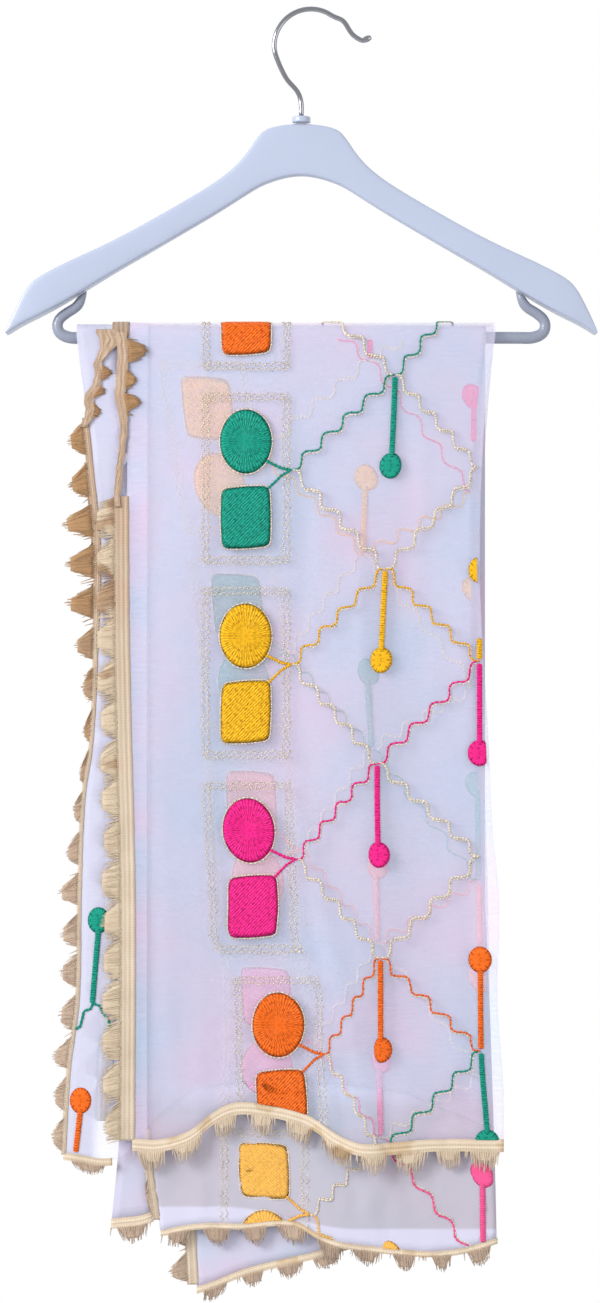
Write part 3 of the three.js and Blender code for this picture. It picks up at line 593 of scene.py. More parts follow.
sheer = chiffonFinish("sheer_chiffon", chiffon["sheer"], 1.0)
# the far middle and far under plies are painted darker, at 0.68 of the plain tints: painted shade of the
# stack's inside
denseShaded = chiffonFinish("doubled_chiffon_painted_shade", 1.0, 0.68)
# the far top ply is painted darker still, at 0.58, where it shows below the near hem: painted shade; its
# covered part gets its own painted light level
shaded = chiffonFinish("shaded_chiffon", 1.0, 0.58, 0.76)
nearDrape = makeNearCloth(sheer)
farTopDrape = makeFarCloth("farTop", "far_top_drape", shaded)
farMiddleDrape = makeFarCloth("farMiddle", "far_middle_drape", denseShaded)
farUnderDrape = makeFarCloth("farUnder", "far_under_drape", denseShaded)
for hung, node in ((nearDrape, "near_cloth"), (farTopDrape, "far_cloth_top"),
                   (farMiddleDrape, "far_cloth_middle"), (farUnderDrape, "far_cloth_under")):
    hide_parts(node)
print("cloth hung")


# a place on a ply's outer face; travel runs up the front, over the bar and down the back below zero
def onPly(ply, x, travel, lift):
    if travel >= 0:
        spot = ("front", travel, 0.0)
    elif travel > -drape["overTurn"]:
        spot = ("over", 0.0, -math.pi / 2 - travel / drape["overTurn"] * math.pi)
    else:
        spot = ("back", -travel - drape["overTurn"], 0.0)
    depth = plyDepth(ply, spot[1], x if spot[0] == "front" else None)
    return place(spot, x, depth + drape["shell"] / 2 + lift, ply)


threadShades = {
    "green": (0.002, 0.27, 0.19), "yellow": (0.98, 0.42, 0.006), "pink": (0.95, 0.012, 0.22),
    "orange": (1.0, 0.13, 0.006), "cream": (0.76, 0.66, 0.52),
}
threadNames = list(threadShades)
# lengths in millimetres, and the share of each effect
threadLook = {
    "strand": 1.7, "strandDrift": 1.6, "stitch": 4.2, "stitchDrift": 2.6, "ridges": (0.38, 0.12),
    "dark": 0.36, "light": 1.3, "gaps": (0.5, 0.62), "gapShade": 0.5, "toneShade": 0.5, "heightShade": 0.8,
    "level": 0.32, "glow": 0.16, "wrongSide": 0.5, "wrongShade": 0.75, "wrongShare": 0.22,
    "deepZ": (-0.3, -0.72), "deep": 0.5,
}
# v of a disc's middle, and where its stitches run together
discMiddle = {"v": -100, "outer": (-111, -102), "inner": (-99.5, -95)}


def threadFinish(name, shade, covered=False):
    look = threadLook
    label = name + ("_covered_thread" if covered else "_thread")
    finish = Finish(label, shade, 0.55, Specular_IOR_Level=0.12)
    where, u, v, _ = finish.axes()
    strand = (u + look["strandDrift"] * finish.noise(where, 0.35)).wave(look["strand"])
    pull = finish.noise(where, 0.5, 1.0, (1.0, 0.2, 1.0))
    stitch = (v + look["stitchDrift"] * pull).wave(look["stitch"])
    middle = finish.step(v, *discMiddle["outer"]) - finish.step(v, *discMiddle["inner"])
    strandHeight, stitchHeight = look["ridges"]
    height = 0.5 + (strandHeight * strand + stitchHeight * stitch) * (1 - middle)
    tone = look["toneShade"] * (finish.noise(where, 0.16) - 0.5)
    gaps = look["gapShade"] * finish.step(finish.noise(where, 0.62, 2.0, (1.3, 0.6, 1.0)), *look["gaps"])
    dark = tuple(c * look["dark"] for c in shade)
    light = tuple(min(c * look["light"] + 0.01, 1) for c in shade)
    # lighter on the raised strands and darker in the grooves and gaps between them: painted light and shade
    # of the stitch relief, with a random tone on top
    color = finish.blend(look["heightShade"] * height + tone + look["level"] - gaps, dark, light)
    if covered:
        # below the near hem the motifs show their paler wrong side
        _, _, _, z = finish.axes("Object")
        bare = 1 - finish.step(z, *chiffon["hemZ"])
        pale = tuple(lerp(c, look["wrongShade"], look["wrongShare"]) for c in shade)
        color = finish.blend(bare * look["wrongSide"], color, pale)
        # the lower ones lie deeper in the stack and show less
        deep = (1 - bare) * finish.step(z, *look["deepZ"])
        color = finish.blend(deep * look["deep"], color, chiffon["plain"])
        # the threads seen through the near end glow faintly: painted light for the light that reaches them
        # through the stack from behind
        finish.set("Emission Strength", look["glow"])
        finish.set("Emission Color", finish.blend(bare, shade, (0, 0, 0)))
    finish.set("Base Color", color)
    finish.set("Roughness", 0.62 - 0.22 * height)
    finish.bump(height, 0.0006, 0.9)
    return finish.material


threads = [threadFinish(name, shade) for name, shade in threadShades.items()]
coveredThreads = [threadFinish(name, shade, True) for name, shade in threadShades.items()]

# sizes of the embroidery in millimetres; v runs down from the line between two boxes
motif = {
    "repeat": 140.6, "disc": (18.6, 23.2, 43.5), "square": (34.6, 44.0, 98.5), "leftVertex": (33.0, 64.0),
    "midVertex": (100.0, -5.0), "rightVertex": (167.0, 62.0), "box": (-31.0, 31.0, 9.4), "link": (26.0, 63.0),
    "stem": 4.0, "stemHeight": 0.42, "ball": (7.9, 9.5), "wave": 0.66, "companion": 0.4, "beside": 1.5,
    "steps": 5, "lift": 0.6, "zigzag": 0.34, "outline": 0.4, "edging": (1.035, 1.03), "base": 0.06,
    "dome": 0.55, "smallSides": (22, 4), "swing": 1.7, "frame": (0.0, 3.6), "turns": (24, 12),
    "slant": 0.03, "bow": 0.045, "chain": 2.9, "links": (1.0, 0.9),
}


class Embroidery:
    def __init__(self, ply, spec, limits):
        self.ply, self.spec, self.limits = ply, spec, limits
        self.maker = Maker()
        self.draw = random.Random(ply)

    # pattern coordinates to x and travel on the cloth: boxes follow the border, the trellis its own columns
    def at(self, u, v):
        spec = self.spec
        travel = spec["first"] + spec["sign"] * v
        left, middle, right = motif["leftVertex"][0], motif["midVertex"][0], motif["rightVertex"][0]
        side = readTable(spec["border"], travel)
        sink = readTable(spec["sink"], travel)
        if u <= left:
            return side + u, travel + sink
        centre = readTable(spec["middle"], travel)
        if u <= middle:
            share = (u - left) / (middle - left)
            return lerp(side + left, centre, share), travel + lerp(sink, spec["drops"][0], share)
        share = (u - middle) / (right - middle)
        return lerp(centre, readTable(spec["right"], travel), share), travel + lerp(*spec["drops"], share)

    def clamp(self, x, travel):
        low, high, left, right, hem = self.limits(x, travel)
        return min(max(x, left), right), min(max(travel, low), min(high, hem))

    def inside(self, x, travel):
        cx, ct = self.clamp(x, travel)
        return abs(cx - x) < 0.05 and abs(ct - travel) < 0.05

    # a stitched patch: rings shrink toward the middle and rise
    def patch(self, outline, centre, shade, uv, rings=7):
        middle = self.at(*centre)
        if not self.inside(*middle) and not any(self.inside(*self.at(*p)) for p in outline[::4]):
            return
        lift = motif["lift"]
        rows = []
        for k in range(rings + 1):
            share = 1 - k / rings
            rise = motif["base"] if k == 0 else lift * lerp(1, (1 - share ** 5) ** 0.5, motif["dome"])
            row = []
            for u, v in outline:
                pu, pv = lerp(centre[0], u, share), lerp(centre[1], v, share)
                x, travel = self.clamp(*self.at(pu, pv))
                point = onPly(self.ply, x, travel, rise)
                row.append(self.maker.add(point, *uv(pu - centre[0], pv - centre[1])))
            rows.append(row)
        for a, b in zip(rows, rows[1:-1]):
            self.maker.band(a, b, threadNames.index(shade), True)
        x, travel = self.clamp(*middle)
        top = self.maker.add(onPly(self.ply, x, travel, lift), *uv(0, 0))
        base = self.maker.add(onPly(self.ply, x, travel, 0.0), *uv(0, 0))
        last, slot = rows[-2], threadNames.index(shade)
        for i in range(len(last)):
            j = (i + 1) % len(last)
            self.maker.face((last[i], last[j], top), slot)
            self.maker.face((rows[0][j], rows[0][i], base), slot)

    def disc(self, u, v, radiusU, radiusV, shade, sides=44, rings=7):
        outline = [(u + radiusU * math.cos(a), v + radiusV * math.sin(a))
                   for a in (2 * math.pi * i / sides for i in range(sides))]

        def uv(du, dv):
            return abs(math.atan2(dv, du)) * radiusU * 0.8, discMiddle["v"] - math.hypot(du, dv)

        self.patch(outline, (u, v), shade, uv, rings)
        if radiusU > 10:
            self.edging(outline, u, v)

    # a cream strand round a patch
    def edging(self, outline, u, v):
        growU, growV = motif["edging"]
        wider = [(u + (a - u) * growU, v + (b - v) * growV) for a, b in outline]
        self.line(wider + wider[:1], "cream", motif["outline"], 0.4, 1.5, 0.7, 4)

    def square(self, u, v, wide, high, shade, per=9):
        slant = self.draw.uniform(-motif["slant"], motif["slant"])
        corners = [(-0.5 + slant, -0.46), (0.49 + slant, -0.51), (0.5 - slant, 0.46), (-0.49 - slant, 0.51)]
        outline = []
        for (ax, ay), (bx, by) in zip(corners, corners[1:] + corners[:1]):
            for i in range(per):
                share = i / per
                bow = 1 + motif["bow"] * math.sin(math.pi * share) - (0.05 if i == 0 else 0)
                outline.append((u + wide * lerp(ax, bx, share) * bow, v + high * lerp(ay, by, share) * bow))
        self.patch(outline, (u, v), shade, lambda du, dv: ((du + dv) * 0.7, (du - dv) * 0.7))
        self.edging(outline, u, v)

    # a stitched line along points in pattern coordinates
    def line(self, route, shade, radius, chain=0.0, step=0.8, height=0.75, sides=6):
        points = []
        for a, b in zip(route, route[1:]):
            count = max(int(math.hypot(b[0] - a[0], b[1] - a[1]) / step), 1)
            points += [(lerp(a[0], b[0], i / count), lerp(a[1], b[1], i / count)) for i in range(count)]
        points.append(route[-1])
        slot = threadNames.index(shade)
        run = []
        for p in points + [None]:
            spot = self.at(*p) if p else None
            if spot and self.inside(*spot):
                run.append(spot)
                continue
            if len(run) > 3:
                self.tube(run, slot, radius, chain, step, height, sides)
            run = []

    def tube(self, run, slot, radius, chain, step, height, sides):
        lift = radius * height * 0.7
        middles = [onPly(self.ply, x, t, lift) for x, t in run]
        tops = [onPly(self.ply, x, t, lift + 1.0) for x, t in run]
        angles = [2 * math.pi * j / sides for j in range(sides)]
        rings = []
        for i, (middle, top) in enumerate(zip(middles, tops)):
            along = (middles[min(i + 1, len(run) - 1)] - middles[max(i - 1, 0)]).normalized()
            up = (top - middle).normalized()
            aside = along.cross(up).normalized()
            swell = 1 - chain + chain * abs(math.sin(math.pi * i * step / motif["chain"])) * 1.5
            end = 0.45 if i in (0, len(run) - 1) else 1.0
            reach = radius * swell * end * mm
            corners = [middle + (aside * math.cos(a) + up * math.sin(a) * height) * reach for a in angles]
            rings.append([self.maker.add(corner, i * step, k * 1.4) for k, corner in enumerate(corners)])
        self.maker.rod(rings, slot)

    # a stepped wave between two points; a coloured one has a cream strand beside it
    def wave(self, start, end, shade):
        steps, detail = motif["steps"], 9
        du, dv = end[0] - start[0], end[1] - start[1]
        route = []
        for i in range(steps * detail + 1):
            t = i / (steps * detail)
            bend = 0.95 * math.sin(2 * math.pi * steps * t) / (2 * math.pi * steps)
            wobble = self.draw.uniform(-0.35, 0.35)
            route.append((start[0] + du * (t + bend) + wobble, start[1] + dv * (t - bend) - wobble))
        self.line(route, shade, motif["wave"], 0.55)
        aside = [(u + motif["beside"] * 0.4, v + motif["beside"]) for u, v in route[1:-1]]
        self.line(aside, "cream", motif["companion"], 0.7, sides=5)

    def zigzag(self, start, end, turns):
        du, dv = end[0] - start[0], end[1] - start[1]
        length = math.hypot(du, dv)
        route = []
        for i in range(turns * 2 + 1):
            side = motif["swing"] * (1 if i % 2 else -1) * self.draw.uniform(0.35, 1.15)
            t = (i + self.draw.uniform(-0.3, 0.3)) / (turns * 2)
            route.append((start[0] + du * t - dv / length * side, start[1] + dv * t + du / length * side))
        self.line(route, "cream", motif["zigzag"], 0.0, 1.3, 0.7, 4)

    def lollipop(self, u, v, shade, length, up=False):
        way = -1 if up else 1
        self.line([(u, v + way * 1.5), (u, v + way * (length - 6))], shade, motif["stem"] / 2, 0.12, 0.9,
                  motif["stemHeight"])
        self.disc(u, v + way * length, *motif["ball"], shade, *motif["smallSides"])

    def row(self, k, shade, straight):
        v0 = k * motif["repeat"]
        radiusU, radiusV, discV = motif["disc"]
        wide, high, squareV = motif["square"]
        self.disc(0, v0 + discV, radiusU, radiusV, shade)
        self.square(0, v0 + squareV, wide, high, shade)
        left, mid, right, link = ((motif[name][0], v0 + motif[name][1])
                                  for name in ("leftVertex", "midVertex", "rightVertex", "link"))
        nextMid = (mid[0], mid[1] + motif["repeat"])
        upRight = (right[0], right[1] - motif["repeat"])
        fromDisc = (radiusU * 0.78, v0 + discV + radiusV * 0.6)
        fromSquare = (wide * 0.46, v0 + squareV - high * 0.47)
        upperLink, lowerLink = motif["links"]
        self.line([fromDisc, link, left], shade, upperLink, 0.5)
        self.line([fromSquare, (link[0], link[1] + 5), left], shade, lowerLink, 0.5)
        self.wave(left, mid, shade)
        self.wave(mid, upRight if straight else right, shade)
        self.wave(left, nextMid, "cream")
        self.wave(mid, right if straight else upRight, "cream")
        middleDrop, sideDrop = self.spec["stems"]
        self.lollipop(*mid, shade, middleDrop)
        if not straight:
            self.lollipop(*right, shade, sideDrop, up=True)
        elif k not in self.spec["bare"]:
            self.lollipop(*upRight, shade, sideDrop)
        boxLeft, boxRight, gap = motif["box"]
        top, bottom = v0 + gap, v0 + motif["repeat"] - gap
        long, short = motif["turns"]
        for offset in motif["frame"]:
            for u in (boxLeft + offset, boxRight - offset):
                self.zigzag((u, top), (u, bottom), long)
            for v in (top + offset, bottom - offset):
                self.zigzag((boxLeft, v), (boxRight, v), short)

    def finish(self, name):
        piece = self.maker.finish(name, coveredThreads if self.ply == plies["farTop"] else threads)
        return piece


nearStitch = {
    "first": 33.0, "sign": 1, "drops": (0, 0), "stems": (66, 66), "rows": (-5, 5), "bare": (0,),
    "straight": 0, "sink": [(0, 0), (600, 0)],
    "border": [(-700, -40), (0, -40), (300, -40), (357, -38), (411, -34.8), (436, -33.6), (466, -18.5),
               (520, -16.5), (545, -14.5), (600, -12)],
    "middle": [(-60, 66), (28, 67.8), (170, 60.6), (310, 54.8), (451, 57), (600, 57)],
    "right": [(0, 128.5), (509, 129.5), (575, 134)],
    "cycle": ["green", "yellow", "pink", "orange"],
}
farStitch = {
    "first": 695.5, "sign": -1, "drops": (20, 43), "stems": (56, 70), "rows": (0, 6), "bare": (),
    "straight": 1,
    "sink": [(0, 17), (175, 20), (316, 22), (456, 23), (540, 15), (597, 7), (660, 3), (720, 3)],
    "border": [(0, -72), (35, -67.5), (175, -46), (316, -36), (456, -25), (597, -27), (720, -26)],
    "middle": [(22, 49.7), (155, 44.7), (303, 51.9), (444, 55.5), (578, 58.4), (660, 67), (719, 70)],
    "right": [(100, 125), (657, 132)],
    "cycle": ["yellow", "pink", "orange", "green"],
}


def nearLimits(x, travel):
    if travel >= 0:
        left, right = readTable(nearCloth["left"], travel), readTable(nearCloth["right"], travel)
        return -600, 600, left + 1, right - 2.2, readTable(nearCloth["hem"], x) - 1
    down = max(-travel - drape["overTurn"], 0)
    left, right = readTable(nearCloth["backLeft"], down), readTable(nearCloth["backRight"], down)
    return -drape["overTurn"] - drape["backDrop"] + 2, 600, left + 1, right - 2.2, 600


def farLimits(x, travel):
    left, right = readTable(farCloth["farTop"]["left"], travel), readTable(farCloth["right"], travel)
    return 2, 700, left + 1, right - 1.5, readTable(farCloth["farTop"]["hem"], x) - 1


def stitchEnd(spec, ply, limits, label):
    work = Embroidery(ply, spec, limits)
    for k in range(*spec["rows"]):
        work.row(k, spec["cycle"][k % len(spec["cycle"])], k % 2 == spec["straight"])
    return work.finish(label)


nearThreads = stitchEnd(nearStitch, plies["nearTop"], nearLimits, "near_embroidery")
farThreads = stitchEnd(farStitch, plies["farTop"], farLimits, "far_embroidery")
print("embroidery stitched")

# the strip of the folded ply that shows at the left has motifs of its own: balls with their stem's foot
stripStitch = {
    "first": 0.0, "sign": 1, "border": [(0, 0), (700, 0)], "sink": [(0, 0), (700, 0)],
    "balls": [("green", (-146.5, 422.5), (-151.0, 482.5)), ("orange", (-159.5, 552.8), (-163.0, 590))],
    "chevron": [(-166.5, 503.0), (-157.0, 488.0), (-150.5, 482.5), (-143.5, 490.0), (-138.0, 500.0),
                (-128.0, 511.0)],
}


def makeStrip():
    def limits(x, travel):
        left = readTable(nearCloth["underLeft"], travel)
        return 2, 700, left + 0.6, 0, readTable(nearCloth["underHem"], x) - 1

    work = Embroidery(plies["nearUnder"], stripStitch, limits)
    for shade, ball, foot in stripStitch["balls"]:
        work.disc(*ball, *motif["ball"], shade, *motif["smallSides"])
        work.line([(ball[0], ball[1] + 6), foot], shade, motif["stem"] / 2, 0.12, 0.9, motif["stemHeight"])
    chevron = stripStitch["chevron"]
    for a, b in zip(chevron, chevron[1:]):
        work.line([a, (lerp(a[0], b[0], 0.7), lerp(a[1], b[1], 0.25)), b], "green", 0.9, 0.3)
    return work.finish("strip_embroidery")


stripThreads = makeStrip()


# light and dark thread of the trims where they are pale and where they are deep, and the heights between
laceShades = {
    "tape": {
        "pale": ((0.68, 0.57, 0.45), (0.4, 0.31, 0.22)), "deep": ((0.56, 0.42, 0.31), (0.3, 0.19, 0.12)),
        "between": (-0.58, -0.34), "patchy": 0.4},
    "tuft": {
        "pale": ((0.64, 0.5, 0.39), (0.36, 0.25, 0.18)), "deep": ((0.52, 0.32, 0.16), (0.26, 0.13, 0.05)),
        "between": (-0.68, -0.4), "patchy": 0.3},
    "cream_tuft": {
        "pale": ((0.76, 0.64, 0.48), (0.46, 0.35, 0.24)), "deep": ((0.5, 0.34, 0.21), (0.27, 0.15, 0.08)),
        "between": (-0.46, -0.35), "patchy": 0.9},
    "hem_tape": {
        "pale": ((0.86, 0.74, 0.58), (0.46, 0.35, 0.24)), "deep": ((0.72, 0.55, 0.36), (0.34, 0.23, 0.13)),
        "between": (-0.75, -0.45), "patchy": 3.0},
    "hem_tuft": {
        "pale": ((0.92, 0.79, 0.63), (0.5, 0.37, 0.25)), "deep": ((0.6, 0.43, 0.26), (0.3, 0.19, 0.1)),
        "between": (-0.75, -0.45), "patchy": 3.0},
}


def laceFinish(kind):
    shades = laceShades[kind]
    finish = Finish("gold_" + kind, shades["pale"][0], 0.6, Sheen_Weight=0.15, Specular_IOR_Level=0.25)
    where, u, v, _ = finish.axes()
    body, _, _, z = finish.axes("Object")
    drift = finish.noise(body, 38.0, 3.0)
    if kind.endswith("tape"):
        height = 0.45 + 0.25 * u.wave(1.15) + 0.3 * v.wave(3.6)
    else:
        height = 1.6 * finish.noise(where, 2.6, 2.0, (1.0, 0.12, 1.0)) - 0.3
    # the deep shades take over higher up, in patches
    deepShare = finish.step(z + shades["patchy"] * (drift - 0.5), *shades["between"])
    # thread tone varies at random with the drift, and is lighter on the raised weave and strands and darker
    # in their low parts: painted shade of the relief
    share = 0.75 * drift + 0.6 * height - 0.15
    light, dark = (finish.blend(deepShare, shades["pale"][i], shades["deep"][i]) for i in (0, 1))
    finish.set("Base Color", finish.blend(share, dark, light))
    finish.set("Roughness", 0.7 - 0.2 * height)
    finish.bump(height, 0.0003, 0.7)
    return finish.material


laceFinishes = [laceFinish(kind) for kind in laceShades]

laceSizes = {
    "overlap": 1.4, "ribs": (0.16, 0.42, 0.68), "ribWide": 0.075, "ribHigh": 0.32, "tapeHalf": (0.4, 0.32),
    "columns": 16, "step": 1.9, "segments": 4, "sideSag": 3.0, "tipSpread": 1.5, "lean": 2.0,
    "grow": (0.84, 1.1), "marginSpread": (0.7, 1.5), "strandRise": 0.34, "strayRise": 0.2,
    "strayReach": (0.2, 0.45), "bow": (-0.35, 0.55), "feltHalf": 0.3, "feltRows": 4, "feltRoot": 0.6,
    "into": 1.0,
}
# tufts beside an edge are felted to a point, those of a hem fan out
tuftStyles = {
    "side": {"strands": 34, "radius": 0.54, "felt": 0.8, "margin": 0.07, "gather": (0.28, 0.5),
             "length": (0.84, 1.06), "taper": 0.95, "strays": 3, "tape": 0, "tuft": 1},
    "full": {"strands": 40, "radius": 0.56, "felt": 0.86, "margin": 0.0, "gather": (0.02, 0.14),
             "length": (0.84, 1.06), "taper": 0.6, "strays": 6, "tape": 0, "tuft": 2},
    "hem": {"strands": 26, "radius": 0.56, "felt": 0.5, "margin": 0.13, "gather": (0.0, 0.22),
            "length": (0.78, 1.1), "taper": 0.62, "strays": 4, "tape": 3, "tuft": 4},
    "tassel": {"strands": 30, "radius": 0.56, "felt": 0.74, "margin": 0.16, "gather": (0.12, 0.32),
               "length": (0.84, 1.08), "taper": 0.7, "strays": 3, "tape": 3, "tuft": 1},
}


# woven tape along an edge, and tufts of many strands past it; size is how wide the tape is and how far
# the tufts reach, as a pair or by the place along the edge
class Lace:
    def __init__(self, name, edge, out, size, teeth, ply, part="front", lift=0.0, sag=0.0, plain=None,
                 rough=0.15, style="side"):
        self.edge, self.out, self.ply, self.part = edge, out, ply, part
        self.size = size if callable(size) else lambda t: size
        self.lift, self.sag, self.rough, self.style = lift, sag, rough, tuftStyles[style]
        self.maker = Maker()
        self.draw = random.Random(name)
        self.tape(*(plain or (teeth[0][0], teeth[-1][1])))
        for start, end in teeth:
            self.tuft(start, end)
        self.obj = self.maker.finish(name, laceFinishes)

    def point(self, t, off, rise, shift=0.0):
        at = self.edge(t)
        x, down, spot = at if len(at) == 3 else (*at, None)
        x += self.out[0] * off
        down += self.out[1] * off + shift
        spot = spot or (self.part, down, 0.0)
        own = x if spot[0] == "front" else None
        depth = plyDepth(self.ply, 0.0 if spot[0] == "over" else spot[1], own)
        return place(spot, x, depth + self.lift + rise, self.ply)

    def tape(self, start, end):
        count = max(int((end - start) / laceSizes["step"]), 2)
        columns = laceSizes["columns"]
        frontRise, backRise = laceSizes["tapeHalf"]
        fronts, backs = [], []
        for i in range(count + 1):
            t = lerp(start, end, i / count)
            wide, _ = self.size(t)
            top, bottom = [], []
            for c in range(columns + 1):
                share = c / columns
                off = lerp(-laceSizes["overlap"], wide, share)
                rib = sum(math.exp(-((share - r) / laceSizes["ribWide"]) ** 2) for r in laceSizes["ribs"])
                weave = 0.1 * math.sin(i * 2.4 + c * 1.7)
                stray = noise.noise_vector(Vector((t / 5, c / 4, self.lift))) * self.rough
                moved = off + 1.4 * stray.x
                rise = frontRise + laceSizes["ribHigh"] * rib + weave + abs(stray.z)
                top.append(self.maker.add(self.point(t, moved, rise), t, off))
                bottom.append(self.maker.add(self.point(t, moved, -backRise), t, off))
            fronts.append(top)
            backs.append(bottom)
        self.maker.plate(fronts, backs, self.style["tape"])

    def tuft(self, start, end):
        middle, span = (start + end) / 2, end - start
        wide, reach = self.size(middle)
        draw, style, sizes = self.draw, self.style, laceSizes
        lean, grow = draw.uniform(-sizes["lean"], sizes["lean"]), draw.uniform(*sizes["grow"])
        gather = draw.uniform(*style["gather"])
        margin = style["margin"] * span * draw.uniform(*sizes["marginSpread"])
        strands, near = style["strands"], wide - sizes["into"]
        for k in range(strands):
            share = (k + 0.5) / strands
            root = lerp(start + margin, end - margin, share)
            aside = abs(share - 0.5)
            length = reach * grow * (1.02 - style["taper"] * aside) * draw.uniform(*style["length"])
            tip = lerp(root, middle, gather + 0.15 * draw.random()) + lean
            tip += draw.uniform(-sizes["tipSpread"], sizes["tipSpread"])
            self.strand(root, tip, near, wide + length, sizes["strandRise"] * (1 if k % 2 else -1))
        for k in range(style["strays"]):
            root = draw.uniform(start, end)
            tip = root + draw.uniform(-1.2, 1.2)
            far = wide + reach * draw.uniform(*sizes["strayReach"])
            self.strand(root, tip, near, far, sizes["strayRise"])
        self.felt(start + margin, end - margin, middle + lean * 0.6, wide, reach * grow * style["felt"])

    def strand(self, root, tip, near, far, rise):
        segments = laceSizes["segments"]
        rings = []
        tone = self.draw.uniform(0, 40)
        bow = self.draw.uniform(*laceSizes["bow"])
        for s in range(segments + 1):
            share = s / segments
            t, off = lerp(root, tip, share ** 1.3), lerp(near, far, share)
            radius = self.style["radius"] * (1.15 - 0.75 * share)
            ring = []
            for a in (90, 210, 330):
                dt, dr = math.cos(math.radians(a)) * radius, math.sin(math.radians(a)) * radius
                lifted = rise * (1 - 0.4 * share) + dr + bow * math.sin(math.pi * share)
                ring.append(self.maker.add(self.point(t + dt, off, lifted, self.sag * share), tone + dt, off))
            rings.append(ring)
        self.maker.rod(rings, self.style["tuft"])

    # the matted inside of a tuft, which closes the gaps between its strands
    def felt(self, start, end, tipMiddle, wide, reach):
        sides = ([], [])
        for s in range(laceSizes["feltRows"] + 1):
            share = s / laceSizes["feltRows"]
            half = lerp((end - start) / 2 - 0.8, (end - start) / 5, share)
            centre = lerp((start + end) / 2, tipMiddle, share)
            off = wide - laceSizes["feltRoot"] + reach * share
            for side, rise in zip(sides, (laceSizes["feltHalf"], -laceSizes["feltHalf"])):
                places = [centre + half * w for w in (-1, -0.5, 0, 0.5, 1)]
                side.append([self.maker.add(self.point(t, off, rise, self.sag * share), t * 3, off)
                             for t in places])
        self.maker.plate(*sides, self.style["tuft"])


def spans(start, end, count):
    return [(lerp(start, end, i / count), lerp(start, end, (i + 1) / count)) for i in range(count)]


def sideEdge(rows):
    return lambda down: (readTable(rows, down), down)


# the edge behind the bar; below zero, t is an angle in degrees over the bar
def overEdge(rows, bar):
    def edge(t):
        if t >= 0:
            return readTable(rows, t), t
        return bar, 0.0, ("over", 0.0, math.pi / 2 + math.radians(t))
    return edge


def hemEdge(rows):
    return lambda x: (x, readTable(rows, x))


laces = {
    "edge": (10.9, 11.4), "nearEdge": (9.6, 14.5), "farEdge": (4.6, 2.6), "farUnderEdge": (7.0, 13.0),
    "nearHem": (7.6, 15.0), "underHem": (4.0, 8.0), "farTop": (3.0, 12.0), "farMiddle": (6.0, 12.0),
    "farUnder": (4.0, 10.0), "rows": 20, "firstRow": 4, "firstUnderRow": 2, "backStart": 90, "overBar": 180,
    "turnedTape": [(10, 7.5), (40, 6.0), (66, 4.5), (84, 3.2), (110, 3.4)],
    "turnedReach": [(10, 15.0), (32, 9.5), (48, 11.5)], "turnedTufts": [(0, 21), (23, 40), (40, 57)],
    "turnedInset": 5, "sway": (1.4, 9), "footPull": (4.0, 96, 24), "topPull": (2.5, 60, 50),
    "underTape": [(40, 3), (101, 4), (147, 4), (191, 4), (220, 3), (263, 2), (600, 2)],
    "underReach": [(40, 7), (101, 16), (147, 22), (191, 19), (220, 15), (263, 7), (328, 5.5), (361, 8),
                   (400, 14), (451, 14.5), (564, 9.5), (600, 9)],
    "gather": [(-6, -146), (14, -147), (34, -151), (50, -155), (68, -159)],
}
# tufted columns of each far hem, counted from its left, out of all its columns
farHems = (("farTop", "far_hem_lace", 9, 9), ("farMiddle", "far_middle_hem_lace", 1, 9),
           ("farUnder", "far_under_hem_lace", 5, 8))
nearHem, underHem = nearCloth["hem"], nearCloth["underHem"]


def firstColumns(rows, count, columns):
    return spans(rows[0][0], lerp(rows[0][0], rows[-1][0], count / columns), count)


def turnedEdge(t):
    wide, pitch = laces["sway"]
    foot, footFrom, footOver = laces["footPull"]
    top, topFrom, topOver = laces["topPull"]
    pulled = foot * ramp((t - footFrom) / footOver) + top * ramp((topFrom - t) / topOver)
    return readTable(nearCloth["left"], t) - laces["turnedInset"] + wide * math.sin(t / pitch) - pulled, t


def gatheredEdge(t):
    return readTable(laces["gather"], t) + 1.2 * math.sin(t / 4), t


def gatheredSize(t):
    return lerp(15, 5, ramp((t + 2) / 24)), 5.0 + 2 * math.sin(t)


def byTables(tape, reach):
    return lambda t: (readTable(laces[tape], t), readTable(laces[reach], t))


